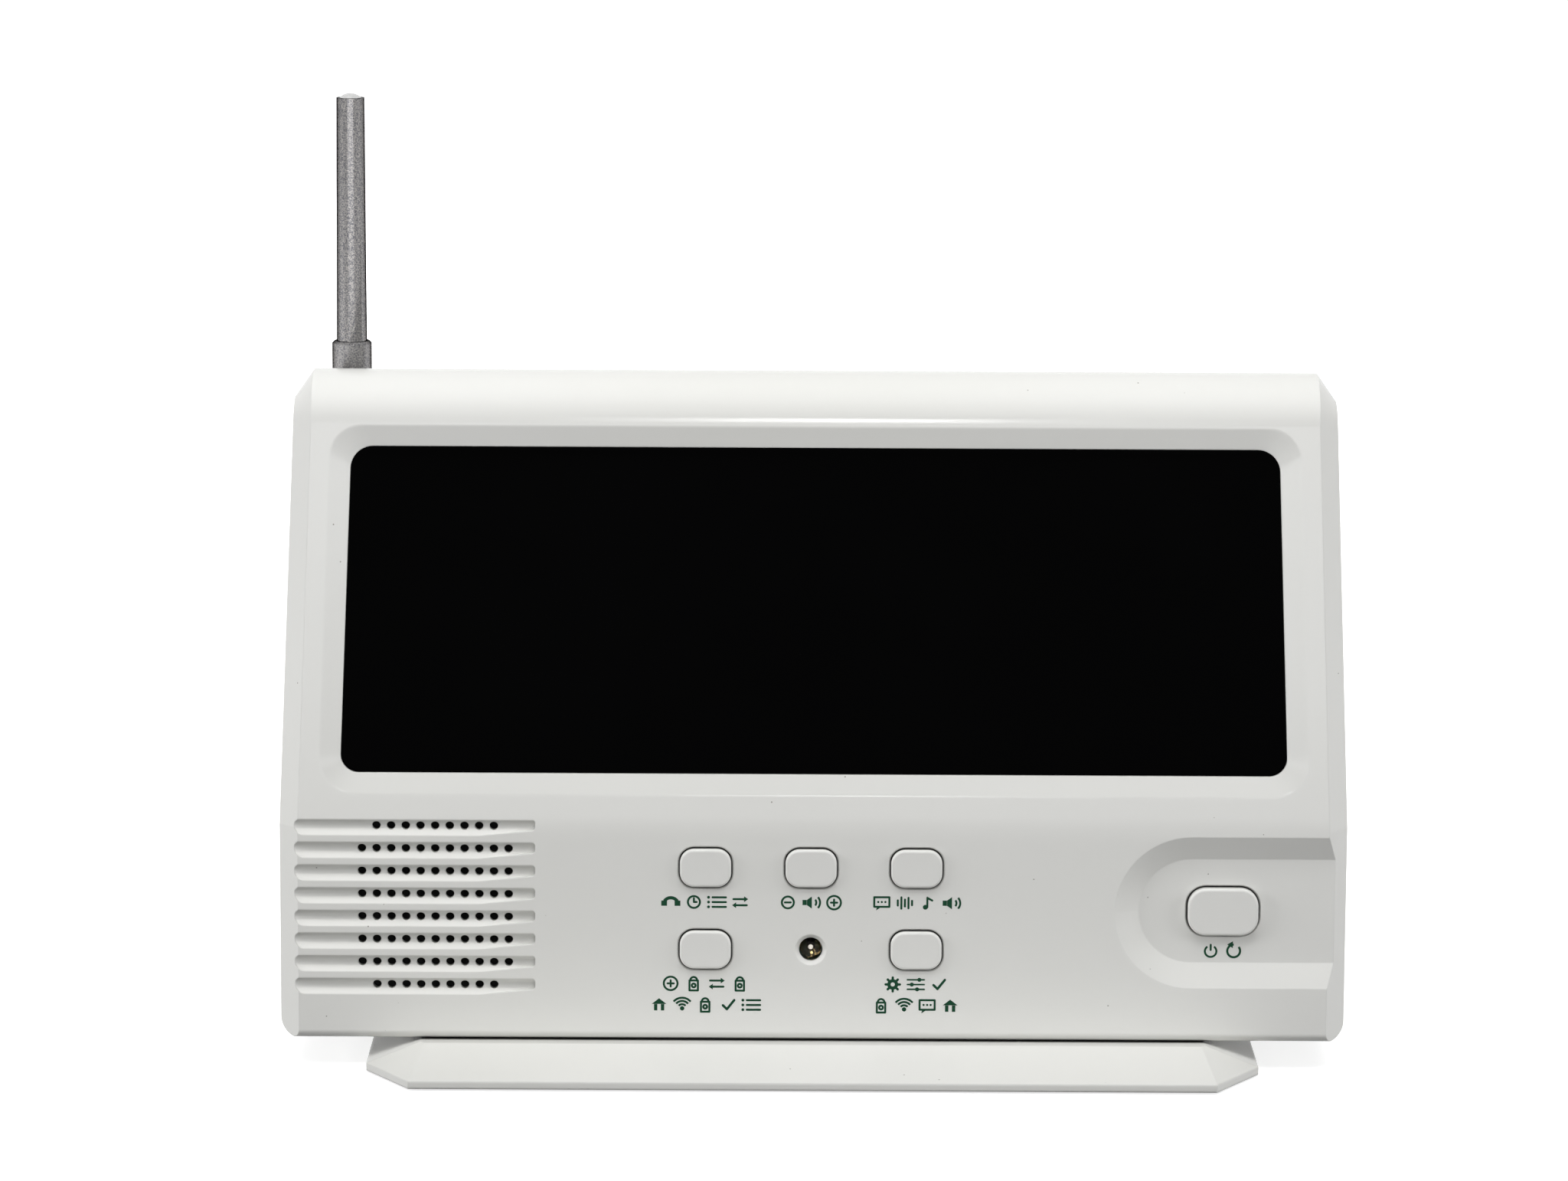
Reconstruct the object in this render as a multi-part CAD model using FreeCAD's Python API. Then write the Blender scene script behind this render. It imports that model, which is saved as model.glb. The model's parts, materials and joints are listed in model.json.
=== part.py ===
"""Medical alert base station: a desk and wall unit with a display window, keys, speaker and antenna.

Frame: +X to the object's right as one faces it, +Y towards its back, +Z up. The origin is on the table
at the centre of the foot. Lengths are millimetres.
"""
import FreeCAD, Part
import math
import os

V = FreeCAD.Vector
os.makedirs("parts", exist_ok=True)

# ---------------------------------------------------------------- case
BODY_WIDTH = 241.0
BODY_DEPTH = 60.0
UNDERSIDE_Z = 7.0
BODY_HEIGHT = 151.5            # to the corner in which the display face and the top would meet
TOP_FALL = 7.1                 # how much lower the top is at the rear
WALL = 2.5
BEND_Z = 55.5                  # where the upright lower panel turns into the leaning display face
DISPLAY_LEAN = 5.0             # degrees
SIDE_TAPER = 2.0               # degrees, above the bend
BEND_RADIUS = 60.0
TOP_RADIUS = 11.5
BOTTOM_RADIUS = 2.0
REAR_RADIUS = 3.0
SIDE_BEVEL_X = 4.5             # bevel between the front face and each side, carried over the top
SIDE_BEVEL_Y = 6.5
BOTTOM_CORNER_RADIUS = 3.5
SMALLEST_RADIUS = 0.4
REAR_HOUSING_DEPTH = 20.0
SEAM_GAP = 0.3
LIP_REACH = 3.0
LIP_THICKNESS = 1.1
LIP_CLEARANCE = 0.15

# ---------------------------------------------------------------- shared clearances
GAP = 0.3                      # around moving pieces and loose seats
RUNNING = 0.05                 # radial, pins and shanks in their bores
OVERCUT = 1.0                  # how far a cutter runs past the faces it cuts
TOUCH = 1e-4                   # places closer than this are the same place
BEVEL_OVERRUN = 1.2            # how far a bevel's cutter runs past the side, as a share of the bevel

# ---------------------------------------------------------------- display window
WINDOW_LOW = 12.4              # along the display face, from the bend
WINDOW_TOP_ROOM = 0.68         # from its surround to the start of the top radius
WINDOW_SIDE_MARGIN = 14.0      # at its lower edge
WINDOW_RADIUS_LOW = 4.0
WINDOW_RADIUS_HIGH = 5.2
DISH_WIDTH = 4.7
DISH_DEPTH = 1.2
DISH_RADIUS_LOW = 8.3
DISH_RADIUS_HIGH = 7.4
DISH_EDGE_RADIUS = 2.0
FRAME_THICKNESS = 1.4          # wall left around the window, behind the dish
FRAME_MARGIN = 6.5
LENS_OVERLAP = 2.6
LENS_THICKNESS = 2.0
GASKET_THICKNESS = 0.5
GASKET_INSET = 0.5
PANEL_INSET = 3.0
PANEL_THICKNESS = 8.0
DISPLAY_SCREW_INSET = 8.0

# ---------------------------------------------------------------- boards and screws
BOARD_THICKNESS = 1.6
SHANK_RADIUS = 1.5
HEAD_RADIUS = 2.8
HEAD_HEIGHT = 2.0
BOSS_RADIUS = 3.6
SMALL_SHANK_RADIUS = 1.0
SMALL_HEAD_RADIUS = 2.0
SMALL_HEAD_HEIGHT = 1.4
DRIVER_SLOT = 0.8
SMALL_BOSS_RADIUS = 2.2
BOARD_SCREW_LENGTH = 6.0
BOSS_ROOT = 0.5                # how far a boss begins inside the front wall

# ---------------------------------------------------------------- keys
KEY_COLUMN_X = -0.5            # middle column
KEY_ROW_RISE = 21.0            # lower row above the underside
KEY_COLUMN_PITCH = 23.75
KEY_ROW_PITCH = 18.8
KEY_OPENING_WIDTH = 12.1
KEY_OPENING_HEIGHT = 9.3
KEY_OPENING_RADIUS = 3.5
KEY_STAND_OUT = 1.0
RESET_SIDE_MARGIN = 28.1
RESET_OPENING_WIDTH = 16.5
RESET_OPENING_HEIGHT = 11.4
RESET_OPENING_RADIUS = 4.4
RESET_STAND_OUT = 1.75
KEY_TRAVEL = 0.6
KEY_EDGE_RADIUS = 0.6
KEY_FLANGE_MARGIN = 0.9
KEY_FLANGE_THICKNESS = 1.2
KEY_STEM_RADIUS = 2.0
OPENING_CHAMFER = 0.3

# ---------------------------------------------------------------- reset recess
RESET_DISH_RISE = 29.9
RESET_DISH_LENGTH = 52.6
RESET_DISH_HEIGHT = 34.8
RESET_DISH_SLOPE = 5.5
RESET_DISH_DEPTH = 2.3
RESET_PAD_MARGIN = 1.0

# ---------------------------------------------------------------- speaker and grille
SPEAKER_SIDE_MARGIN = 35.4
SPEAKER_RISE = 30.7
GRILLE_PITCH_X = 3.3
GRILLE_PITCH_Z = 5.22
GRILLE_ROWS = 8
GRILLE_COLUMNS = 11
GRILLE_SHORT_COLUMNS = 9       # in the first and the last row
GRILLE_HOLE_RADIUS = 0.95
GROOVE_SIDE_MARGIN = 3.45
GROOVE_PAST_SPEAKER = 22.5     # right end, from the speaker's axis
GROOVE_NARROWS_AT = 9.1
GROOVE_ABOVE = 1.55            # from the row's line to the groove's upper edge
GROOVE_BELOW = 2.15
GROOVE_BELOW_NARROW = 0.85
GROOVE_FLOOR = 0.55            # half height of the groove's floor
GROOVE_DEPTH = 1.3
GROOVE_END_RADIUS = 2.8
GROOVE_FLOOR_RADIUS = 1.2
GROOVE_SMALL_RADIUS = 0.8
GROOVE_BEND_RADIUS = 7.2
SPEAKER_RADIUS = 26.5
SPEAKER_RIM = 3.0
SPEAKER_FLANGE = 1.5
SPEAKER_RING_HEIGHT = 3.5
SPEAKER_GASKET = 0.8
SPEAKER_EAR_REACH = 29.5
SPEAKER_EAR_RADIUS = 3.2
SPEAKER_EARS = 4
SPEAKER_DEPTH = 11.0
BASKET_WALL = 1.0
MAGNET_RADIUS = 14.0
MAGNET_HEIGHT = 7.0
CONE_THICKNESS = 0.6
CONE_DEPTH = 6.0
DUST_CAP_RADIUS = 6.0

# ---------------------------------------------------------------- key board and lamp
SWITCH_SIZE = 6.0
SWITCH_HEIGHT = 3.5
PLUNGER_RADIUS = 1.75
PLUNGER_REACH = 2.5            # plunger in front of the switch at rest
PLUNGER_SINK = 1.5
KEY_BOARD_DEPTH = 13.0         # behind the upright panel's face
KEY_BOARD_LEFT_MARGIN = 16.75  # past the key columns
KEY_BOARD_RIGHT_MARGIN = 17.6
KEY_BOARD_LOW_MARGIN = 8.5     # past the key rows
KEY_BOARD_HIGH_MARGIN = 7.7
BOARD_HOLE_INSET = 3.5
LAMP_RADIUS = 2.5
LAMP_HOLE_RADIUS = 2.65
LAMP_SINK_RADIUS = 3.55
LAMP_SINK_DEPTH = 0.9
LAMP_SET_BACK = 0.2
LAMP_LENGTH = 7.8
LAMP_FLANGE_RADIUS = 2.9
LAMP_FLANGE = 1.0
LEAD_SIZE = 0.5
LEAD_PITCH = 2.54

# ---------------------------------------------------------------- main board, jacks, radio
MAIN_BOARD_SIDE_MARGIN = 13.5
MAIN_BOARD_LOW_MARGIN = 13.0   # above the bend
MAIN_BOARD_TOP_MARGIN = 15.4
MAIN_BOARD_AHEAD = 6.0         # in front of the parting plane
MAIN_HOLE_INSET = 5.0
JACK_STAND_OUT = 0.6
JACK_LENGTH = 14.0
AUX_TOP_MARGIN = 30.8
AUX_COLLAR_RADIUS = 2.6
AUX_BORE_RADIUS = 1.8
AUX_BORE_LENGTH = 14.0
AUX_HEIGHT = 6.0
JACK_PITCH = 7.6
INLET_COLLAR_RADIUS = 4.2
INLET_BORE_RADIUS = 2.85
INLET_BORE_DEPTH = 10.0
INLET_PIN_RADIUS = 1.0
RADIO_X = -70.0
RADIO_WIDTH = 30.0
RADIO_TOP_MARGIN = 24.0        # its low edge, from the main board's top edge
RADIO_HEIGHT = 16.0
RADIO_LIFT = 2.0
CAPACITOR_RADIUS = 4.0
CAPACITOR_HEIGHT = 11.0
BOARD_BLOCKS = (               # x, height on the board, width, height, thickness of each
    (-30.0, 23.5, 14.0, 14.0, 1.6),
    (4.0, 25.5, 10.0, 12.0, 1.6),
    (40.0, 35.5, 19.0, 15.0, 12.0),
    (70.0, 27.5, 8.0, 6.0, 2.2),
    (74.0, 51.5, 12.0, 5.0, 6.0),
)
BOARD_CAPACITORS = ((-84.0, 23.5), (-72.0, 23.5))

# ---------------------------------------------------------------- battery
CELL_LENGTH = 50.5
CELL_RADIUS = 7.25
CELL_NUB = 1.0
CELL_NUB_RADIUS = 2.75
CELL_PLAY = 0.2
CELL_ROW_PITCH = 15.2
BATTERY_RISE = 38.0
BATTERY_WALL = 1.6
POCKET_DEPTH = 17.4
SPRING_LENGTH = 4.6
SPRING_WIRE_RADIUS = 0.4
SPRING_RADIUS = 3.6
SPRING_TURNS = 4
SPRING_STEP = 0.5              # each turn is this much smaller than the one before
CONTACT_THICKNESS = 0.4
CONTACT_SIZE = 9.0
DOOR_MARGIN = 4.0              # from the pocket to the edge of the door's seat
DOOR_THICKNESS = 2.0
DOOR_PIN_RADIUS = 0.8
DOOR_PIN_LENGTH = 1.6
DOOR_FRAME_MARGIN = 2.2
DOOR_FRAME_DEPTH = 4.0
DOOR_GRIP_WIDTH = 16.0
DOOR_GRIP_HEIGHT = 3.5
DOOR_GRIP_DEPTH = 1.5

# ---------------------------------------------------------------- case screws, wall holes, vents
POST_RADIUS = 4.2
CASE_SCREW_TOP_MARGIN = 23.4
CASE_SCREW_SIDE_MARGIN = 12.5
CASE_SCREW_SEAT_DEPTH = 14.0
CASE_BOSS_ROOM = 0.9           # from the display's screws to the bosses behind them
CASE_SCREW_TIP_MARGIN = 2.5    # from a boss's front end to its screw's tip
SCREW_TIP_ROOM = 1.0
KEYHOLE_SPACING = 140.0
KEYHOLE_TOP_MARGIN = 43.4
KEYHOLE_RADIUS = 4.5
KEYHOLE_SLOT_RADIUS = 2.3
KEYHOLE_RISE = 9.0
VENT_COUNT = 9
VENT_PITCH = 6.0
VENT_WIDTH = 2.0
VENT_HEIGHT = 16.0
VENT_RADIUS = 0.9
VENT_TOP_MARGIN = 35.4

# ---------------------------------------------------------------- antenna
ANTENNA_SIDE_MARGIN = 12.92
PIVOT_TOP_MARGIN = 7.4
KNUCKLE_RADIUS = 5.5
KNUCKLE_WIDTH = 9.2
NECK_RADIUS = 3.5
NECK_LENGTH = 8.0
COLLAR_RADIUS = 4.6
COLLAR_RISE = 6.4              # above the pivot
COLLAR_LENGTH = 7.05
COLLAR_CHAMFER = 0.5
ROD_RADIUS_LOW = 3.56
ROD_RADIUS_HIGH = 3.22
ANTENNA_LENGTH = 69.9          # from the pivot to the rod's top
TIP_RADIUS = 2.53
TIP_HEIGHT = 1.0
PIVOT_BOSS_RADIUS = 3.4
PIVOT_BOSS_LENGTH = 8.0
PIVOT_BOSS_REACH = 0.9         # boss standing out behind the case
PIVOT_HEAD_RADIUS = 3.2
LEAD_WIRE_RADIUS = 0.8
LEAD_REACH = 6.0
LEAD_BEND_SHARE = 0.45         # of a lead's run, taken up by each bend
BATTERY_LEAD_DEPTH = 12.0

# ---------------------------------------------------------------- foot
FOOT_WIDTH = 201.2
FOOT_DEPTH = 101.0
FOOT_CORNER_X = 10.4
FOOT_CORNER_Y = 17.0
FOOT_LIFT = 0.5                # the rubber pads hold the foot this far off the table
FOOT_RIM_Z = 2.2
FOOT_SLOPE_X = 12.1            # width of the sloped sides, in plan
FOOT_SLOPE_Y = 17.5
FOOT_TOP_CORNER_X = 0.8
FOOT_TOP_GAP = 0.25
FOOT_WALL = 2.6
FOOT_SCREW_X = 60.0
FOOT_SCREW_Y = -2.0
FOOT_SCREW_SEAT_Z = 3.4
FOOT_SCREW_LENGTH = 13.0
FOOT_BOSS_HEIGHT = 13.0
FOOT_POST_RADIUS = 6.0
PAD_MARGIN_X = 16.6
PAD_MARGIN_Y = 14.5
PAD_RADIUS = 5.0
PAD_THICKNESS = 1.5
PAD_SEAT_RADIUS = 6.5

# ---------------------------------------------------------------- derived places
FRONT_Y = -BODY_DEPTH / 2
REAR_Y = BODY_DEPTH / 2
BROW_Z = UNDERSIDE_Z + BODY_HEIGHT
TOP_Z = BROW_Z - TOP_FALL      # at the rear
HALF_WIDTH = BODY_WIDTH / 2
PARTING_Y = REAR_Y - REAR_HOUSING_DEPTH
INNER_FRONT_Y = FRONT_Y + WALL
INNER_REAR_Y = REAR_Y - WALL
FLOOR_Z = UNDERSIDE_Z + WALL
LEAN = math.radians(DISPLAY_LEAN)
TAPER = math.tan(math.radians(SIDE_TAPER))
DISPLAY_LENGTH = (BROW_Z - BEND_Z) / math.cos(LEAN)
FACE_TOP_Y = FRONT_Y + DISPLAY_LENGTH * math.sin(LEAN)
TOP_SLOPE = math.atan(TOP_FALL / (REAR_Y - FACE_TOP_Y))
TOP_TURN = math.pi / 2 + TOP_SLOPE - LEAN       # from the display face over to the top
TOP_RADIUS_START = DISPLAY_LENGTH - TOP_RADIUS * math.tan(TOP_TURN / 2)
WINDOW_HEIGHT = TOP_RADIUS_START - WINDOW_LOW - DISH_WIDTH - WINDOW_TOP_ROOM
WINDOW_WIDTH = BODY_WIDTH - 2 * WINDOW_SIDE_MARGIN
KEY_ROW_LOW_Z = UNDERSIDE_Z + KEY_ROW_RISE
RESET_X = HALF_WIDTH - RESET_SIDE_MARGIN
RESET_DISH_Z = UNDERSIDE_Z + RESET_DISH_RISE
RESET_DISH_LEFT = HALF_WIDTH - RESET_DISH_LENGTH
SPEAKER_X = SPEAKER_SIDE_MARGIN - HALF_WIDTH
SPEAKER_Z = UNDERSIDE_Z + SPEAKER_RISE
GROOVE_LEFT = GROOVE_SIDE_MARGIN - HALF_WIDTH
GROOVE_RIGHT = SPEAKER_X + GROOVE_PAST_SPEAKER
GROOVE_NARROWS = SPEAKER_X + GROOVE_NARROWS_AT
KEY_BOARD_FRONT_Y = FRONT_Y + KEY_BOARD_DEPTH
KEY_BOARD_LEFT = KEY_COLUMN_X - KEY_COLUMN_PITCH - KEY_BOARD_LEFT_MARGIN
KEY_BOARD_RIGHT = RESET_X + KEY_BOARD_RIGHT_MARGIN
KEY_BOARD_LOW = KEY_ROW_LOW_Z - KEY_BOARD_LOW_MARGIN
KEY_BOARD_HIGH = KEY_ROW_LOW_Z + KEY_ROW_PITCH + KEY_BOARD_HIGH_MARGIN
MAIN_BOARD_WIDTH = BODY_WIDTH - 2 * MAIN_BOARD_SIDE_MARGIN
MAIN_BOARD_LOW = BEND_Z + MAIN_BOARD_LOW_MARGIN
MAIN_BOARD_HIGH = TOP_Z - MAIN_BOARD_TOP_MARGIN
MAIN_BOARD_Y = PARTING_Y - MAIN_BOARD_AHEAD
AUX_Z = TOP_Z - AUX_TOP_MARGIN
INLET_Z = AUX_Z - JACK_PITCH
RADIO_LOW = MAIN_BOARD_HIGH - RADIO_TOP_MARGIN
BATTERY_Z = UNDERSIDE_Z + BATTERY_RISE
POCKET_FLOOR_Y = REAR_Y - POCKET_DEPTH
CASE_SCREW_HIGH_Z = TOP_Z - CASE_SCREW_TOP_MARGIN
CASE_SCREW_LOW_X = HALF_WIDTH - CASE_SCREW_SIDE_MARGIN
CASE_SCREW_SEAT_Y = REAR_Y - CASE_SCREW_SEAT_DEPTH
KEYHOLE_Z = TOP_Z - KEYHOLE_TOP_MARGIN
VENT_Z = TOP_Z - VENT_TOP_MARGIN
ANTENNA_X = ANTENNA_SIDE_MARGIN - HALF_WIDTH
ANTENNA_Y = REAR_Y + PIVOT_BOSS_REACH + GAP + KNUCKLE_WIDTH / 2
PIVOT_Z = TOP_Z - PIVOT_TOP_MARGIN
PIVOT_BOSS_FRONT_Y = REAR_Y + PIVOT_BOSS_REACH - PIVOT_BOSS_LENGTH
NECK_TOP_Z = PIVOT_Z + NECK_LENGTH
COLLAR_LOW_Z = PIVOT_Z + COLLAR_RISE
COLLAR_TOP_Z = COLLAR_LOW_Z + COLLAR_LENGTH
ROD_TOP_Z = PIVOT_Z + ANTENNA_LENGTH
BATTERY_LEAD_Y = REAR_Y - BATTERY_LEAD_DEPTH
FAR = 4 * BODY_WIDTH           # well outside the case, for cutters
FRAME_DEPTH = DISH_DEPTH + FRAME_THICKNESS
LENS_DEPTH = FRAME_DEPTH + GASKET_THICKNESS
PANEL_DEPTH = LENS_DEPTH + LENS_THICKNESS
DISPLAY_BOARD_DEPTH = PANEL_DEPTH + PANEL_THICKNESS
DISPLAY_STACK = DISPLAY_BOARD_DEPTH + BOARD_THICKNESS + SMALL_HEAD_HEIGHT
FACE_BY_SCREW_Y = FRONT_Y + (CASE_SCREW_HIGH_Z - BEND_Z) * math.tan(LEAN)
CASE_BOSS_FRONT_Y = FACE_BY_SCREW_Y + DISPLAY_STACK / math.cos(LEAN) + CASE_BOSS_ROOM
CASE_SCREW_LENGTH = CASE_SCREW_SEAT_Y - CASE_BOSS_FRONT_Y - CASE_SCREW_TIP_MARGIN
RESET_FLOOR_Y = FRONT_Y + RESET_DISH_DEPTH
SPEAKER_SEAT_Y = INNER_FRONT_Y + SPEAKER_RING_HEIGHT
SPEAKER_FLANGE_Y = SPEAKER_SEAT_Y + SPEAKER_GASKET
SWITCH_FRONT_Y = KEY_BOARD_FRONT_Y - SWITCH_HEIGHT
PLUNGER_FRONT_Y = SWITCH_FRONT_Y - PLUNGER_REACH
POCKET_LENGTH = 2 * CELL_LENGTH + CELL_PLAY + SPRING_LENGTH + 2 * CONTACT_THICKNESS
POCKET_HEIGHT = CELL_ROW_PITCH + 2 * (CELL_RADIUS + GAP)
SEAT_Y = REAR_Y - DOOR_THICKNESS - RUNNING
SEAT_HALF_WIDTH = POCKET_LENGTH / 2 + DOOR_MARGIN
SEAT_LOW_Z = BATTERY_Z - POCKET_HEIGHT / 2 - DOOR_MARGIN
SEAT_HIGH_Z = BATTERY_Z + POCKET_HEIGHT / 2 + DOOR_MARGIN
DOOR_AXIS_Z = SEAT_LOW_Z + GAP + DOOR_THICKNESS / 2
DOOR_AXIS_Y = REAR_Y - DOOR_THICKNESS / 2
FOOT_TOP_Z = UNDERSIDE_Z - FOOT_TOP_GAP
FOOT_TOP_WIDTH = FOOT_WIDTH - 2 * FOOT_SLOPE_X
FOOT_TOP_DEPTH = FOOT_DEPTH - 2 * FOOT_SLOPE_Y
PAD_X = FOOT_WIDTH / 2 - PAD_MARGIN_X
PAD_Y = FOOT_DEPTH / 2 - PAD_MARGIN_Y
PARTS = {}


# ================================================================ shapes
def rounded_face(points, radii, place):
    """A face from a polygon with each corner rounded; place(u, v) gives the point in space."""
    edges = []
    starts = []
    ends = []
    for index, corner in enumerate(points):
        before = points[index - 1]
        after = points[(index + 1) % len(points)]
        back = (before[0] - corner[0], before[1] - corner[1])
        ahead = (after[0] - corner[0], after[1] - corner[1])
        back_length = math.hypot(*back)
        ahead_length = math.hypot(*ahead)
        back = (back[0] / back_length, back[1] / back_length)
        ahead = (ahead[0] / ahead_length, ahead[1] / ahead_length)
        opening = math.acos(max(-1.0, min(1.0, back[0] * ahead[0] + back[1] * ahead[1])))
        radius = radii[index]
        reach = radius / math.tan(opening / 2)
        start = (corner[0] + back[0] * reach, corner[1] + back[1] * reach)
        end = (corner[0] + ahead[0] * reach, corner[1] + ahead[1] * reach)
        starts.append(start)
        ends.append(end)
        if radius > 0:
            middle = (back[0] + ahead[0], back[1] + ahead[1])
            middle_length = math.hypot(*middle)
            depth = radius / math.sin(opening / 2) - radius
            crown = (corner[0] + middle[0] / middle_length * depth,
                     corner[1] + middle[1] / middle_length * depth)
            edges.append((index, Part.Arc(place(*start), place(*crown), place(*end)).toShape()))
    path = []
    arcs = dict(edges)
    for index in range(len(points)):
        if index in arcs:
            path.append(arcs[index])
        line_start = place(*ends[index])
        line_end = place(*starts[(index + 1) % len(points)])
        if line_start.distanceToPoint(line_end) > TOUCH:
            path.append(Part.LineSegment(line_start, line_end).toShape())
    return Part.Face(Part.Wire(path))


def inset_points(points, inset):
    """The same polygon, given anticlockwise, with every side moved inwards."""
    moved = []
    for index, corner in enumerate(points):
        before = points[index - 1]
        after = points[(index + 1) % len(points)]
        normals = []
        for first, second in ((before, corner), (corner, after)):
            run = (second[0] - first[0], second[1] - first[1])
            length = math.hypot(*run)
            normals.append((-run[1] / length, run[0] / length))
        one, two = normals
        share = inset / (1 + one[0] * two[0] + one[1] * two[1])
        moved.append((corner[0] + (one[0] + two[0]) * share, corner[1] + (one[1] + two[1]) * share))
    return moved


def inset_radii(radii, inset):
    return [max(radius - inset, SMALLEST_RADIUS) for radius in radii]


def front_view(y):
    return lambda x, z: V(x, y, z)


def side_view(x):
    return lambda y, z: V(x, y, z)


def plan_view(z):
    return lambda x, y: V(x, y, z)


def on_display(x, along, depth):
    """A point measured along the display face from the bend, and behind that face."""
    return V(x,
             FRONT_Y + along * math.sin(LEAN) + depth * math.cos(LEAN),
             BEND_Z + along * math.cos(LEAN) - depth * math.sin(LEAN))


def display_view(depth):
    return lambda x, along: on_display(x, along, depth)


def into_display(distance):
    return V(0, distance * math.cos(LEAN), -distance * math.sin(LEAN))


def box(x0, x1, y0, y1, z0, z1):
    return Part.makeBox(x1 - x0, y1 - y0, z1 - z0, V(x0, y0, z0))


def rod(start, end, radius):
    axis = end.sub(start)
    return Part.makeCylinder(radius, axis.Length, start, axis)


def rod_y(x, z, y0, y1, radius):
    return rod(V(x, y0, z), V(x, y1, z), radius)


def loft(first, second):
    return Part.makeLoft([first.OuterWire, second.OuterWire], True, True)


def turned(profile, x, z):
    """A solid of revolution about an axis along Y; the profile holds (y, radius) points."""
    wire = Part.makePolygon([V(x + radius, y, z) for y, radius in profile + profile[:1]])
    return Part.Face(wire).revolve(V(x, 0, z), V(0, 1, 0), 360)


def rectangle(width, height, x=0.0, z=0.0):
    return [(x - width / 2, z - height / 2), (x + width / 2, z - height / 2),
            (x + width / 2, z + height / 2), (x - width / 2, z + height / 2)]


def fuse_all(shapes):
    first, *others = shapes
    return first.multiFuse(others) if others else first


def save(name, *solids):
    """Keep one node: a single solid, or a group of separate ones."""
    pieces = []
    for solid in solids:
        pieces.extend(solid.removeSplitter().Solids)
    PARTS[name] = pieces[0] if len(pieces) == 1 else Part.makeCompound(pieces)


# ================================================================ case
def half_width_at(z):
    return HALF_WIDTH - max(0.0, z - BEND_Z) * TAPER


def side_profile():
    """The case seen from its right: (y, z) corners and their radii."""
    points = [(FRONT_Y, UNDERSIDE_Z), (REAR_Y, UNDERSIDE_Z), (REAR_Y, TOP_Z),
              (FACE_TOP_Y, BROW_Z), (FRONT_Y, BEND_Z)]
    return points, [BOTTOM_RADIUS, REAR_RADIUS, REAR_RADIUS, TOP_RADIUS, BEND_RADIUS]


def front_profile():
    """The case seen from the front: (x, z) corners and their radii."""
    right = [(HALF_WIDTH, UNDERSIDE_Z), (HALF_WIDTH, BEND_Z), (half_width_at(BROW_Z), BROW_Z)]
    left = [(-x, z) for x, z in reversed(right)]
    radii = [BOTTOM_CORNER_RADIUS, BEND_RADIUS, SMALLEST_RADIUS]
    return right + left, radii + radii[::-1]


def beyond(point, normal):
    """Everything on the far side of a plane."""
    block = Part.makeBox(FAR, FAR, FAR, V(-FAR / 2, -FAR / 2, 0))
    block.Placement = FreeCAD.Placement(point, FreeCAD.Rotation(V(0, 0, 1), normal))
    return block


def low_bevel(side, inset):
    """What the bevel beside the upright panel takes off."""
    normal = V(side * SIDE_BEVEL_Y, -SIDE_BEVEL_X, 0).normalize()
    corner = V(side * (HALF_WIDTH - SIDE_BEVEL_X), FRONT_Y, BEND_Z)
    return beyond(corner.sub(normal * inset), normal)


def high_bevel(side, inset):
    """What the bevel takes off beside the display face, round the top radius and along the top."""
    axis = on_display(0, TOP_RADIUS_START, TOP_RADIUS)
    outward = V(0, -math.cos(LEAN), math.sin(LEAN))
    edge_x = half_width_at(on_display(0, TOP_RADIUS_START, 0).z) - SIDE_BEVEL_X
    length = math.hypot(SIDE_BEVEL_X, SIDE_BEVEL_Y)
    x = edge_x - inset * SIDE_BEVEL_Y / length
    reach = TOP_RADIUS - inset * SIDE_BEVEL_X / length
    corners = [(x - SIDE_BEVEL_X, reach + SIDE_BEVEL_Y),
               (x + BEVEL_OVERRUN * SIDE_BEVEL_X, reach - BEVEL_OVERRUN * SIDE_BEVEL_Y),
               (x + BEVEL_OVERRUN * SIDE_BEVEL_X, reach + SIDE_BEVEL_Y)]
    places = [axis + V(side * across, 0, 0) + outward * out for across, out in corners]
    section = Part.Face(Part.makePolygon(places + places[:1]))
    down = V(side * TAPER * math.cos(LEAN), -math.sin(LEAN), -math.cos(LEAN))
    over = section.copy()
    over.rotate(axis, V(1, 0, 0), -math.degrees(TOP_TURN))
    back = V(0, math.cos(TOP_SLOPE), -math.sin(TOP_SLOPE))
    return fuse_all([section.extrude(down * FAR), over.extrude(back * FAR),
                     section.revolve(axis, V(1, 0, 0), -math.degrees(TOP_TURN))])


def case_block(inset):
    """The case's outer form, or the same form with every face moved inwards."""
    points, radii = side_profile()
    section = rounded_face(inset_points(points, inset), inset_radii(radii, inset), side_view(-BODY_WIDTH))
    block = section.extrude(V(2 * BODY_WIDTH, 0, 0))
    points, radii = front_profile()
    section = rounded_face(inset_points(points, inset), inset_radii(radii, inset),
                           front_view(-2 * BODY_DEPTH))
    block = block.common(section.extrude(V(0, 4 * BODY_DEPTH, 0)))
    for side in (-1, 1):
        block = block.cut(low_bevel(side, inset)).cut(high_bevel(side, inset))
    return block.removeSplitter()


def window_points(margin):
    """The window's outline on the display face, grown by a margin."""
    low = WINDOW_WIDTH / 2
    high = low - WINDOW_HEIGHT * TAPER
    top = WINDOW_LOW + WINDOW_HEIGHT
    return inset_points([(-low, WINDOW_LOW), (low, WINDOW_LOW), (high, top), (-high, top)], -margin)


def window_radii(share):
    """Corner radii from the window itself (0) to the dish's outer edge (1)."""
    low = WINDOW_RADIUS_LOW + share * (DISH_RADIUS_LOW - WINDOW_RADIUS_LOW)
    high = WINDOW_RADIUS_HIGH + share * (DISH_RADIUS_HIGH - WINDOW_RADIUS_HIGH)
    return [low, low, high, high]


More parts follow.
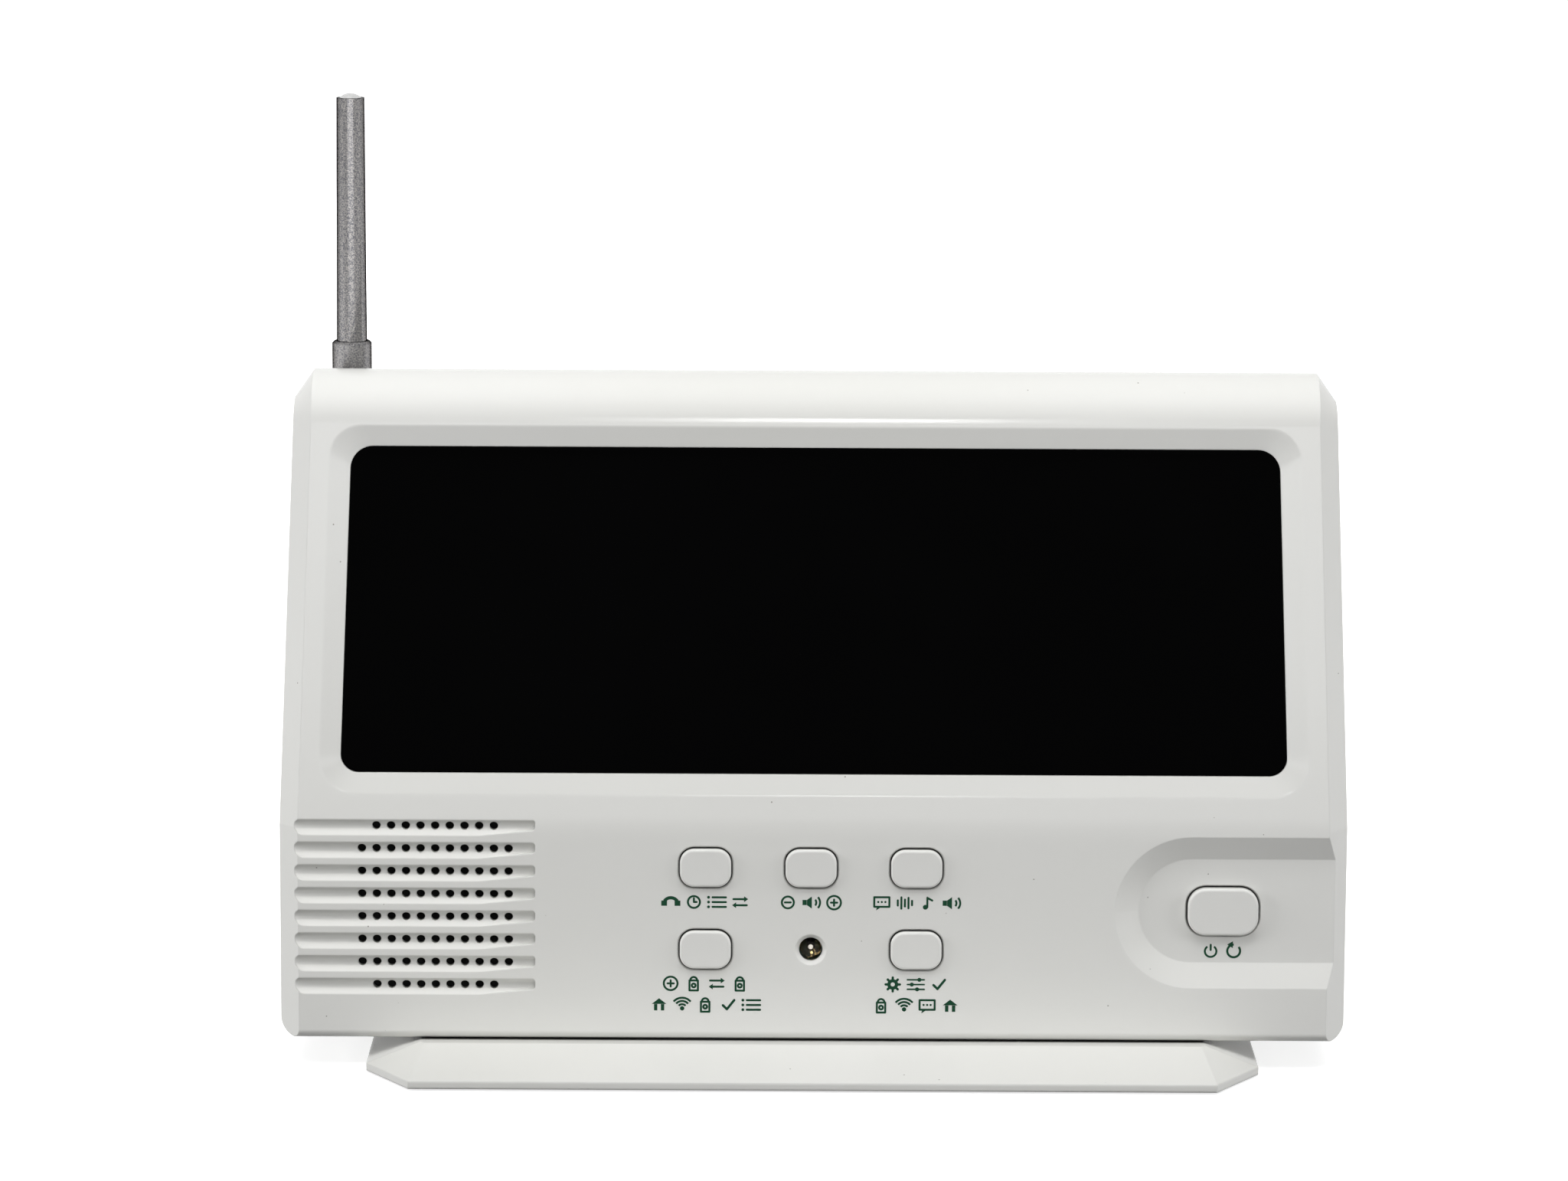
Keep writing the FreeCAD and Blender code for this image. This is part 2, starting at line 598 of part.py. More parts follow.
def window_face(margin, depth):
    return rounded_face(window_points(margin), window_radii(margin / DISH_WIDTH), display_view(depth))


def window_plate(margin, depth, thickness):
    return window_face(margin, depth).extrude(into_display(thickness))


def window_dish():
    """The sloped surround, carried on a little above the display face so that it cuts cleanly."""
    growth = 1 + OVERCUT / DISH_DEPTH
    outer = rounded_face(window_points(DISH_WIDTH * growth), window_radii(growth), display_view(-OVERCUT))
    return loft(outer, window_face(0, DISH_DEPTH))


def reset_face(share, y):
    """The reset recess, open at the right, from its floor (0) to its outer edge (1)."""
    margin = (share - 1) * RESET_DISH_SLOPE
    half = RESET_DISH_HEIGHT / 2 + margin
    left = RESET_DISH_LEFT - margin
    points = [(left, RESET_DISH_Z - half), (2 * HALF_WIDTH, RESET_DISH_Z - half),
              (2 * HALF_WIDTH, RESET_DISH_Z + half), (left, RESET_DISH_Z + half)]
    radius = half - RUNNING
    return rounded_face(points, [radius, 0, 0, radius], front_view(y))


def reset_dish():
    growth = 1 + OVERCUT / RESET_DISH_DEPTH
    return loft(reset_face(growth, FRONT_Y - OVERCUT), reset_face(0, RESET_FLOOR_Y))


def grille_rows():
    """Each row's height with the number of holes in it."""
    top = SPEAKER_Z + GRILLE_PITCH_Z * (GRILLE_ROWS - 1) / 2
    for row in range(GRILLE_ROWS):
        short = row in (0, GRILLE_ROWS - 1)
        yield top - row * GRILLE_PITCH_Z, GRILLE_SHORT_COLUMNS if short else GRILLE_COLUMNS


def groove(z):
    """One grille groove: steep above, shallow below, narrower at its right end."""
    section = [(FRONT_Y - OVERCUT, z - GROOVE_BELOW), (FRONT_Y, z - GROOVE_BELOW),
               (FRONT_Y + GROOVE_DEPTH, z - GROOVE_FLOOR), (FRONT_Y + GROOVE_DEPTH, z + GROOVE_FLOOR),
               (FRONT_Y, z + GROOVE_ABOVE), (FRONT_Y - OVERCUT, z + GROOVE_ABOVE)]
    curves = [0, 0, GROOVE_FLOOR_RADIUS, GROOVE_FLOOR_RADIUS, 0, 0]
    channel = rounded_face(section, curves, side_view(-FAR / 2))
    outline = [(GROOVE_LEFT, z - GROOVE_BELOW), (GROOVE_NARROWS, z - GROOVE_BELOW),
               (GROOVE_RIGHT, z - GROOVE_BELOW_NARROW), (GROOVE_RIGHT, z + GROOVE_ABOVE),
               (GROOVE_LEFT, z + GROOVE_ABOVE)]
    radii = [GROOVE_END_RADIUS, GROOVE_BEND_RADIUS, GROOVE_SMALL_RADIUS, GROOVE_SMALL_RADIUS,
             GROOVE_SMALL_RADIUS]
    plan = rounded_face(outline, radii, front_view(FRONT_Y - OVERCUT)).extrude(V(0, 2 * WALL, 0))
    return channel.extrude(V(FAR, 0, 0)).common(plan)


def grille_holes():
    holes = []
    for z, count in grille_rows():
        for column in range(count):
            x = SPEAKER_X + (column - (count - 1) / 2) * GRILLE_PITCH_X
            holes.append(rod_y(x, z, FRONT_Y, INNER_FRONT_Y + OVERCUT, GRILLE_HOLE_RADIUS))
    return holes


# ================================================================ keys
KEY_SPOTS = {
    "review": (KEY_COLUMN_X - KEY_COLUMN_PITCH, KEY_ROW_LOW_Z + KEY_ROW_PITCH),
    "volume": (KEY_COLUMN_X, KEY_ROW_LOW_Z + KEY_ROW_PITCH),
    "tone": (KEY_COLUMN_X + KEY_COLUMN_PITCH, KEY_ROW_LOW_Z + KEY_ROW_PITCH),
    "add": (KEY_COLUMN_X - KEY_COLUMN_PITCH, KEY_ROW_LOW_Z),
    "program": (KEY_COLUMN_X + KEY_COLUMN_PITCH, KEY_ROW_LOW_Z),
    "reset": (RESET_X, RESET_DISH_Z),
}
LAMP_SPOT = (KEY_COLUMN_X, KEY_ROW_LOW_Z)


def key_surface(name):
    return RESET_FLOOR_Y if name == "reset" else FRONT_Y


def key_face(name, margin, y):
    """The outline of a key's opening, grown by a margin."""
    if name == "reset":
        width, height, radius = RESET_OPENING_WIDTH, RESET_OPENING_HEIGHT, RESET_OPENING_RADIUS
    else:
        width, height, radius = KEY_OPENING_WIDTH, KEY_OPENING_HEIGHT, KEY_OPENING_RADIUS
    points = rectangle(width + 2 * margin, height + 2 * margin, *KEY_SPOTS[name])
    return rounded_face(points, [radius + margin] * 4, front_view(y))


def key_opening(name):
    surface = key_surface(name)
    hole = key_face(name, 0, surface - OVERCUT).extrude(V(0, WALL + 2 * OVERCUT, 0))
    lead_in = loft(key_face(name, 2 * OPENING_CHAMFER, surface - OPENING_CHAMFER),
                   key_face(name, 0, surface + OPENING_CHAMFER))
    return hole.fuse(lead_in)


def key_cap(name):
    """Cap, flange behind the wall and stem in one moulding."""
    surface = key_surface(name)
    stand_out = RESET_STAND_OUT if name == "reset" else KEY_STAND_OUT
    flange_y = surface + WALL + GAP
    cap = key_face(name, -GAP, surface - stand_out).extrude(V(0, flange_y - surface + stand_out, 0))
    rim = [edge for edge in cap.Edges if abs(edge.BoundBox.YMax - surface + stand_out) < TOUCH]
    cap = cap.makeFillet(KEY_EDGE_RADIUS, rim)
    flange = key_face(name, KEY_FLANGE_MARGIN, flange_y).extrude(V(0, KEY_FLANGE_THICKNESS, 0))
    x, z = KEY_SPOTS[name]
    stem = rod_y(x, z, flange_y + KEY_FLANGE_THICKNESS / 2, PLUNGER_FRONT_Y, KEY_STEM_RADIUS)
    return fuse_all([cap, flange, stem])


def make_keys():
    bases = []
    for name, (x, z) in KEY_SPOTS.items():
        save(name + "_key", key_cap(name))
        save(name + "_plunger", rod_y(x, z, PLUNGER_FRONT_Y, SWITCH_FRONT_Y + PLUNGER_SINK, PLUNGER_RADIUS))
        half = SWITCH_SIZE / 2
        base = box(x - half, x + half, SWITCH_FRONT_Y, KEY_BOARD_FRONT_Y, z - half, z + half)
        well = rod_y(x, z, SWITCH_FRONT_Y, SWITCH_FRONT_Y + PLUNGER_SINK + KEY_TRAVEL + GAP,
                     PLUNGER_RADIUS + RUNNING)
        bases.append(base.cut(well))
    save("switch_bases", *bases)


def key_board_holes():
    for x in (KEY_BOARD_LEFT + BOARD_HOLE_INSET, KEY_BOARD_RIGHT - BOARD_HOLE_INSET):
        for z in (KEY_BOARD_LOW + BOARD_HOLE_INSET, KEY_BOARD_HIGH - BOARD_HOLE_INSET):
            yield x, z


def screw_y(x, z, seat_y, length, shank, head, head_height, heading=-1):
    """A screw along Y: its head sits on seat_y and its shank runs the way it is heading."""
    outside = seat_y - heading * head_height
    slot_ends = sorted((outside, outside + heading * head_height / 2))
    shaft = rod_y(x, z, seat_y, seat_y + heading * length, shank)
    cap = rod_y(x, z, seat_y, outside, head)
    slot = box(x - head, x + head, *slot_ends, z - DRIVER_SLOT / 2, z + DRIVER_SLOT / 2)
    return shaft.fuse(cap).cut(slot)


def make_key_board():
    back = KEY_BOARD_FRONT_Y + BOARD_THICKNESS
    board = box(KEY_BOARD_LEFT, KEY_BOARD_RIGHT, KEY_BOARD_FRONT_Y, back, KEY_BOARD_LOW, KEY_BOARD_HIGH)
    screws = []
    for x, z in key_board_holes():
        board = board.cut(rod_y(x, z, KEY_BOARD_FRONT_Y - OVERCUT, back + OVERCUT, SMALL_SHANK_RADIUS + GAP))
        screws.append(screw_y(x, z, back, BOARD_SCREW_LENGTH, SMALL_SHANK_RADIUS, SMALL_HEAD_RADIUS,
                              SMALL_HEAD_HEIGHT))
    save("key_board", board)
    save("key_board_screws", *screws)


def make_lamp():
    x, z = LAMP_SPOT
    tip = FRONT_Y + LAMP_SET_BACK
    dome_y = tip + LAMP_RADIUS
    flange_y = tip + LAMP_LENGTH
    dome = Part.makeSphere(LAMP_RADIUS, V(x, dome_y, z))
    barrel = rod_y(x, z, dome_y, flange_y, LAMP_RADIUS)
    flange = rod_y(x, z, flange_y - LAMP_FLANGE, flange_y, LAMP_FLANGE_RADIUS)
    save("status_lamp", fuse_all([barrel, dome, flange]))
    leads = []
    for side in (-1, 1):
        lead_x = x + side * LEAD_PITCH / 2
        leads.append(box(lead_x - LEAD_SIZE / 2, lead_x + LEAD_SIZE / 2, flange_y, KEY_BOARD_FRONT_Y,
                         z - LEAD_SIZE / 2, z + LEAD_SIZE / 2))
    save("lamp_leads", *leads)


# ================================================================ front housing
def case_screw_spots():
    """Screw axes (x, z) at the four corners of the case."""
    high_x = half_width_at(CASE_SCREW_HIGH_Z) - WALL - BOSS_RADIUS + GAP
    low_z = FLOOR_Z + BOSS_RADIUS - GAP
    for side in (-1, 1):
        yield side * high_x, CASE_SCREW_HIGH_Z
        yield side * CASE_SCREW_LOW_X, low_z


def display_screw_spots():
    """Standoffs beside the lens: x and distance along the display face."""
    reach = LENS_OVERLAP + GAP + SMALL_BOSS_RADIUS
    for along in (WINDOW_LOW + DISPLAY_SCREW_INSET, WINDOW_LOW + WINDOW_HEIGHT - DISPLAY_SCREW_INSET):
        half = WINDOW_WIDTH / 2 - (along - WINDOW_LOW) * TAPER + reach
        yield -half, along
        yield half, along


def speaker_ear_spots():
    for ear in range(SPEAKER_EARS):
        angle = 2 * math.pi * (ear + 0.5) / SPEAKER_EARS
        yield (SPEAKER_X + SPEAKER_EAR_REACH * math.cos(angle),
               SPEAKER_Z + SPEAKER_EAR_REACH * math.sin(angle))


def jack_holes():
    """Round holes through the left wall, split between the two housings."""
    left = -FAR / 2
    inner = -half_width_at(AUX_Z) + 2 * WALL
    return [rod(V(left, PARTING_Y, AUX_Z), V(inner, PARTING_Y, AUX_Z), AUX_COLLAR_RADIUS + GAP),
            rod(V(left, PARTING_Y, INLET_Z), V(inner, PARTING_Y, INLET_Z), INLET_COLLAR_RADIUS + GAP)]


def front_additions():
    root_y = FRONT_Y + BOSS_ROOT
    solids = [window_plate(FRAME_MARGIN, WALL / 2, FRAME_DEPTH - WALL / 2)]
    pad = reset_face(1 + RESET_PAD_MARGIN / RESET_DISH_SLOPE, root_y)
    solids.append(pad.extrude(V(0, RESET_FLOOR_Y + WALL - root_y, 0)))
    ring = rod_y(SPEAKER_X, SPEAKER_Z, root_y, SPEAKER_SEAT_Y, SPEAKER_RADIUS)
    solids.append(ring.cut(rod_y(SPEAKER_X, SPEAKER_Z, INNER_FRONT_Y, SPEAKER_SEAT_Y, SPEAKER_RADIUS - WALL)))
    for x, z in speaker_ear_spots():
        solids.append(rod_y(x, z, root_y, SPEAKER_FLANGE_Y, SMALL_BOSS_RADIUS))
    for x, z in key_board_holes():
        solids.append(rod_y(x, z, root_y, KEY_BOARD_FRONT_Y, SMALL_BOSS_RADIUS))
    for x, z in case_screw_spots():
        solids.append(rod_y(x, z, CASE_BOSS_FRONT_Y, PARTING_Y, BOSS_RADIUS))
    for x, along in display_screw_spots():
        start = on_display(x, along, FRAME_DEPTH - FRAME_THICKNESS / 2)
        solids.append(rod(start, on_display(x, along, DISPLAY_BOARD_DEPTH), SMALL_BOSS_RADIUS))
    for side in (-1, 1):
        low = V(side * FOOT_SCREW_X, FOOT_SCREW_Y, UNDERSIDE_Z + BOSS_ROOT)
        solids.append(rod(low, low + V(0, 0, FOOT_BOSS_HEIGHT - BOSS_ROOT), BOSS_RADIUS))
    return solids


def front_cuts():
    solids = [window_dish(), window_plate(0, 0, FRAME_DEPTH + OVERCUT), reset_dish()]
    solids += [groove(z) for z, count in grille_rows()]
    solids += grille_holes()
    solids += [key_opening(name) for name in KEY_SPOTS]
    x, z = LAMP_SPOT
    solids.append(rod_y(x, z, FRONT_Y - OVERCUT, INNER_FRONT_Y + OVERCUT, LAMP_HOLE_RADIUS))
    solids.append(turned([(FRONT_Y - LAMP_SINK_DEPTH, 0),
                          (FRONT_Y - LAMP_SINK_DEPTH, 2 * LAMP_SINK_RADIUS - LAMP_HOLE_RADIUS),
                          (FRONT_Y + LAMP_SINK_DEPTH, LAMP_HOLE_RADIUS),
                          (FRONT_Y + LAMP_SINK_DEPTH, 0)], x, z))
    solids += jack_holes()
    for x, z in speaker_ear_spots():
        solids.append(rod_y(x, z, SPEAKER_FLANGE_Y + SPEAKER_FLANGE - BOARD_SCREW_LENGTH - GAP,
                            SPEAKER_FLANGE_Y, SMALL_SHANK_RADIUS + RUNNING))
    back = KEY_BOARD_FRONT_Y + BOARD_THICKNESS
    for x, z in key_board_holes():
        solids.append(rod_y(x, z, back - BOARD_SCREW_LENGTH - GAP, back, SMALL_SHANK_RADIUS + RUNNING))
    screw_end = CASE_SCREW_SEAT_Y - CASE_SCREW_LENGTH
    for x, z in case_screw_spots():
        solids.append(rod_y(x, z, screw_end - SCREW_TIP_ROOM, PARTING_Y, SHANK_RADIUS + RUNNING))
    depth = DISPLAY_BOARD_DEPTH + BOARD_THICKNESS
    for x, along in display_screw_spots():
        solids.append(rod(on_display(x, along, depth - BOARD_SCREW_LENGTH - GAP), on_display(x, along, depth),
                          SMALL_SHANK_RADIUS + RUNNING))
    for side in (-1, 1):
        low = V(side * FOOT_SCREW_X, FOOT_SCREW_Y, UNDERSIDE_Z - OVERCUT)
        top_z = FOOT_SCREW_SEAT_Z + FOOT_SCREW_LENGTH + SCREW_TIP_ROOM
        solids.append(rod(low, V(low.x, low.y, top_z), SHANK_RADIUS + RUNNING))
    return solids


def make_front_housing(outer, hollow):
    ahead_of_seam = box(-FAR / 2, FAR / 2, -FAR / 2, PARTING_Y, 0, BROW_Z)
    solid = fuse_all([outer.cut(hollow)] + [piece.common(outer) for piece in front_additions()])
    for cutter in front_cuts():
        solid = solid.cut(cutter)
    solid = solid.common(ahead_of_seam).removeSplitter()
    save("front_housing", soften_dish(solid))


def soften_dish(solid):
    """Round the outer edge of the window's sloped surround."""
    reach = DISH_WIDTH + TOUCH
    edges = []
    for edge in solid.Edges:
        ends = [vertex.Point for vertex in edge.Vertexes]
        on_face = all(abs(display_depth(end)) < TOUCH for end in ends)
        across = all(abs(end.x) < WINDOW_WIDTH / 2 + reach for end in ends)
        up = all(WINDOW_LOW - reach < along_display(end) < WINDOW_LOW + WINDOW_HEIGHT + reach for end in ends)
        if on_face and across and up:
            edges.append(edge)
    return solid.makeFillet(DISH_EDGE_RADIUS, edges)


def display_depth(point):
    return (point.y - FRONT_Y) * math.cos(LEAN) - (point.z - BEND_Z) * math.sin(LEAN)


def along_display(point):
    return (point.y - FRONT_Y) * math.sin(LEAN) + (point.z - BEND_Z) * math.cos(LEAN)


# ================================================================ rear housing
def door_seat():
    return box(-SEAT_HALF_WIDTH, SEAT_HALF_WIDTH, SEAT_Y, REAR_Y + OVERCUT, SEAT_LOW_Z, SEAT_HIGH_Z)


def rear_additions(outer):
    lip = case_block(WALL + LIP_CLEARANCE).cut(case_block(WALL + LIP_CLEARANCE + LIP_THICKNESS))
    root = case_block(WALL / 2).cut(case_block(WALL + LIP_CLEARANCE + LIP_THICKNESS))
    seam_y = PARTING_Y + SEAM_GAP
    inside_wall = REAR_Y - WALL / 2
    solids = [lip.common(box(-FAR / 2, FAR / 2, PARTING_Y - LIP_REACH, seam_y + OVERCUT, 0, BROW_Z)),
              root.common(box(-FAR / 2, FAR / 2, seam_y, seam_y + LIP_REACH, 0, BROW_Z))]
    for x, z in case_screw_spots():
        solids.append(rod_y(x, z, seam_y, inside_wall, POST_RADIUS))
    for x, z in main_board_holes():
        solids.append(rod_y(x, z, MAIN_BOARD_Y + BOARD_THICKNESS, inside_wall, SMALL_BOSS_RADIUS))
    half_height = POCKET_HEIGHT / 2 + BATTERY_WALL
    half_length = POCKET_LENGTH / 2 + BATTERY_WALL
    solids.append(box(-half_length, half_length, POCKET_FLOOR_Y - BATTERY_WALL, inside_wall,
                      BATTERY_Z - half_height, BATTERY_Z + half_height))
    grow = DOOR_FRAME_MARGIN
    solids.append(box(-SEAT_HALF_WIDTH - grow, SEAT_HALF_WIDTH + grow, REAR_Y - DOOR_FRAME_DEPTH, inside_wall,
                      SEAT_LOW_Z - grow, SEAT_HIGH_Z + DOOR_GRIP_HEIGHT + grow))
    return [piece.common(outer) for piece in solids]


def rear_cuts():
    solids = [box(-POCKET_LENGTH / 2, POCKET_LENGTH / 2, POCKET_FLOOR_Y, REAR_Y + OVERCUT,
                  BATTERY_Z - POCKET_HEIGHT / 2, BATTERY_Z + POCKET_HEIGHT / 2), door_seat()]
    solids.append(box(-DOOR_GRIP_WIDTH / 2, DOOR_GRIP_WIDTH / 2, REAR_Y - DOOR_GRIP_DEPTH, REAR_Y + OVERCUT,
                      SEAT_HIGH_Z - OVERCUT, SEAT_HIGH_Z + DOOR_GRIP_HEIGHT))
    socket = SEAT_HALF_WIDTH - GAP + DOOR_PIN_LENGTH + GAP
    solids.append(rod(V(-socket, DOOR_AXIS_Y, DOOR_AXIS_Z), V(socket, DOOR_AXIS_Y, DOOR_AXIS_Z),
                      DOOR_PIN_RADIUS + RUNNING))
    lip_front = PARTING_Y - LIP_REACH - OVERCUT
    for x, z in case_screw_spots():
        solids.append(rod_y(x, z, CASE_SCREW_SEAT_Y, REAR_Y + OVERCUT, HEAD_RADIUS + GAP))
        solids.append(rod_y(x, z, lip_front, REAR_Y, SHANK_RADIUS + RUNNING))
        solids.append(rod_y(x, z, lip_front, PARTING_Y + SEAM_GAP, BOSS_RADIUS + GAP))
    for x, z in main_board_holes():
        solids.append(rod_y(x, z, 0, MAIN_BOARD_Y + BOARD_SCREW_LENGTH + GAP, SMALL_SHANK_RADIUS + RUNNING))
    solids.append(rod_y(ANTENNA_X, PIVOT_Z, PIVOT_BOSS_FRONT_Y - OVERCUT, REAR_Y + WALL,
                        SHANK_RADIUS + RUNNING))
    solids += keyholes() + vents() + jack_holes()
    solids.append(box(-FAR, -half_width_at(AUX_Z) + JACK_LENGTH, 0, PARTING_Y + INLET_COLLAR_RADIUS + 2 * GAP,
                      INLET_Z - INLET_COLLAR_RADIUS - 2 * GAP, AUX_Z + AUX_HEIGHT / 2 + GAP)
                  .common(box(-half_width_at(INLET_Z) + WALL, FAR, -FAR, FAR, -FAR, FAR)))
    return solids


def keyholes():
    inside = INNER_REAR_Y - OVERCUT
    outside = REAR_Y + OVERCUT
    solids = []
    for side in (-1, 1):
        x = side * KEYHOLE_SPACING / 2
        solids.append(rod_y(x, KEYHOLE_Z, inside, outside, KEYHOLE_RADIUS))
        solids.append(rod_y(x, KEYHOLE_Z + KEYHOLE_RISE, inside, outside, KEYHOLE_SLOT_RADIUS))
        solids.append(box(x - KEYHOLE_SLOT_RADIUS, x + KEYHOLE_SLOT_RADIUS, inside, outside,
                          KEYHOLE_Z, KEYHOLE_Z + KEYHOLE_RISE))
    return solids


def vents():
    slots = []
    for index in range(VENT_COUNT):
        x = (index - (VENT_COUNT - 1) / 2) * VENT_PITCH
        outline = rectangle(VENT_WIDTH, VENT_HEIGHT, x, VENT_Z)
        face = rounded_face(outline, [VENT_RADIUS] * 4, front_view(INNER_REAR_Y - OVERCUT))
        slots.append(face.extrude(V(0, WALL + 2 * OVERCUT, 0)))
    return slots


def make_rear_housing(outer, hollow):
    seam_y = PARTING_Y + SEAM_GAP
    behind_seam = box(-FAR / 2, FAR / 2, seam_y, FAR / 2, 0, BROW_Z)
    shell = outer.cut(hollow).common(behind_seam)
    boss = rod_y(ANTENNA_X, PIVOT_Z, PIVOT_BOSS_FRONT_Y, REAR_Y + PIVOT_BOSS_REACH, PIVOT_BOSS_RADIUS)
    solid = fuse_all([shell, boss] + rear_additions(outer))
    for cutter in rear_cuts():
        solid = solid.cut(cutter)
    save("rear_housing", solid)


def make_case_screws():
    screws = [screw_y(x, z, CASE_SCREW_SEAT_Y, CASE_SCREW_LENGTH, SHANK_RADIUS, HEAD_RADIUS, HEAD_HEIGHT)
              for x, z in case_screw_spots()]
    save("housing_screws", *screws)


# ================================================================ display
def make_display():
    save("window_lens", window_plate(LENS_OVERLAP, LENS_DEPTH, LENS_THICKNESS))
    outer = window_plate(LENS_OVERLAP, FRAME_DEPTH, GASKET_THICKNESS)
    inner = window_plate(GASKET_INSET, FRAME_DEPTH - OVERCUT, GASKET_THICKNESS + 2 * OVERCUT)
    save("lens_gasket", outer.cut(inner))
    save("display_panel", window_plate(-PANEL_INSET, PANEL_DEPTH, PANEL_THICKNESS))
    board = window_plate(LENS_OVERLAP + GAP + 2 * SMALL_BOSS_RADIUS, DISPLAY_BOARD_DEPTH, BOARD_THICKNESS)
    screws = []
    for x, along in display_screw_spots():
        back = DISPLAY_BOARD_DEPTH + BOARD_THICKNESS
        tip = on_display(x, along, back - BOARD_SCREW_LENGTH)
        head = on_display(x, along, back + SMALL_HEAD_HEIGHT)
        front = on_display(x, along, DISPLAY_BOARD_DEPTH - OVERCUT)
        board = board.cut(rod(front, head, SMALL_SHANK_RADIUS + GAP))
        shank = rod(tip, on_display(x, along, back), SMALL_SHANK_RADIUS)
        screws.append(shank.fuse(rod(on_display(x, along, back), head, SMALL_HEAD_RADIUS)))
    save("display_board", board)
    save("display_screws", *screws)


# ================================================================ speaker
def make_speaker():
    x, z = SPEAKER_X, SPEAKER_Z
    inner = SPEAKER_RADIUS - SPEAKER_RIM
    save("speaker_gasket", rod_y(x, z, SPEAKER_SEAT_Y, SPEAKER_FLANGE_Y, SPEAKER_RADIUS)
         .cut(rod_y(x, z, SPEAKER_SEAT_Y - OVERCUT, SPEAKER_FLANGE_Y + OVERCUT, SPEAKER_RADIUS - WALL)))
    rear_y = SPEAKER_FLANGE_Y + SPEAKER_FLANGE
    magnet_y = SPEAKER_FLANGE_Y + SPEAKER_DEPTH
    basket = turned([(SPEAKER_FLANGE_Y, inner), (SPEAKER_FLANGE_Y, SPEAKER_RADIUS), (rear_y, SPEAKER_RADIUS),
                     (rear_y, inner + BASKET_WALL), (magnet_y, MAGNET_RADIUS), (magnet_y, DUST_CAP_RADIUS),
                     (magnet_y - BASKET_WALL, DUST_CAP_RADIUS),
                     (magnet_y - BASKET_WALL, MAGNET_RADIUS - BASKET_WALL)], x, z)
    before_y = SPEAKER_FLANGE_Y - OVERCUT
    behind_y = rear_y + OVERCUT
    screws = []
    for ear_x, ear_z in speaker_ear_spots():
        ear = rod_y(ear_x, ear_z, SPEAKER_FLANGE_Y, rear_y, SPEAKER_EAR_RADIUS)
        ear = ear.cut(rod_y(x, z, before_y, behind_y, SPEAKER_RADIUS - WALL))
        basket = basket.fuse(ear).cut(rod_y(ear_x, ear_z, before_y, behind_y, SMALL_SHANK_RADIUS + GAP))
        screws.append(screw_y(ear_x, ear_z, rear_y, BOARD_SCREW_LENGTH, SMALL_SHANK_RADIUS, SMALL_HEAD_RADIUS,
                              SMALL_HEAD_HEIGHT))
    save("speaker_basket", basket)
    save("speaker_screws", *screws)
    save("speaker_magnet", rod_y(x, z, magnet_y, magnet_y + MAGNET_HEIGHT, MAGNET_RADIUS))
    front = SPEAKER_FLANGE_Y + RUNNING
    valley = front + CONE_DEPTH
    basket_slope = (inner - MAGNET_RADIUS + BASKET_WALL) / (SPEAKER_DEPTH - BASKET_WALL)
    edge = inner - RUNNING * (1 + basket_slope)
    thick = CONE_THICKNESS
    save("speaker_cone", turned([(front, edge), (front + thick, edge - thick * basket_slope),
                                 (valley + thick, DUST_CAP_RADIUS), (valley - thick, 0),
                                 (valley - 2 * thick, 0), (valley, DUST_CAP_RADIUS)], x, z))


# ================================================================ main board, radio and jacks
def main_board_holes():
    for x in (-MAIN_BOARD_WIDTH / 2 + MAIN_HOLE_INSET, MAIN_BOARD_WIDTH / 2 - MAIN_HOLE_INSET):
        for z in (MAIN_BOARD_LOW + MAIN_HOLE_INSET, MAIN_BOARD_HIGH - MAIN_HOLE_INSET):
            yield x, z


def make_main_board():
    back = MAIN_BOARD_Y + BOARD_THICKNESS
    half = MAIN_BOARD_WIDTH / 2
    board = box(-half, half, MAIN_BOARD_Y, back, MAIN_BOARD_LOW, MAIN_BOARD_HIGH)
    screws = []
    for x, z in main_board_holes():
        board = board.cut(rod_y(x, z, MAIN_BOARD_Y - OVERCUT, back + OVERCUT, SMALL_SHANK_RADIUS + GAP))
        screws.append(screw_y(x, z, MAIN_BOARD_Y, BOARD_SCREW_LENGTH, SMALL_SHANK_RADIUS, SMALL_HEAD_RADIUS,
                              SMALL_HEAD_HEIGHT, heading=1))
    save("main_board", board)
    save("main_board_screws", *screws)
    save("main_board_parts", *main_board_parts(back))


def main_board_parts(back):
    """Chips, capacitors, relay and plug housings on the board's rear face."""
    solids = []
    for x, rise, width, height, tall in BOARD_BLOCKS:
        z = MAIN_BOARD_LOW + rise
        solids.append(box(x, x + width, back, back + tall, z, z + height))
    for x, rise in BOARD_CAPACITORS:
        solids.append(rod_y(x, MAIN_BOARD_LOW + rise, back, back + CAPACITOR_HEIGHT, CAPACITOR_RADIUS))
    return solids


def make_radio():
    """The receiver board stands on its row of header pins behind the main board."""
    back = MAIN_BOARD_Y + BOARD_THICKNESS
    board = box(RADIO_X, RADIO_X + RADIO_WIDTH, back + RADIO_LIFT, back + RADIO_LIFT + BOARD_THICKNESS / 2,
                RADIO_LOW, RADIO_LOW + RADIO_HEIGHT)
    pins = []
    count = int((RADIO_WIDTH - LEAD_PITCH) / LEAD_PITCH)
    for index in range(count):
        x = RADIO_X + LEAD_PITCH * (index + 1)
        pins.append(box(x - LEAD_SIZE / 2, x + LEAD_SIZE / 2, back, back + RADIO_LIFT,
                        RADIO_LOW + LEAD_SIZE, RADIO_LOW + 2 * LEAD_SIZE))
    save("radio_board", board.multiFuse(pins))


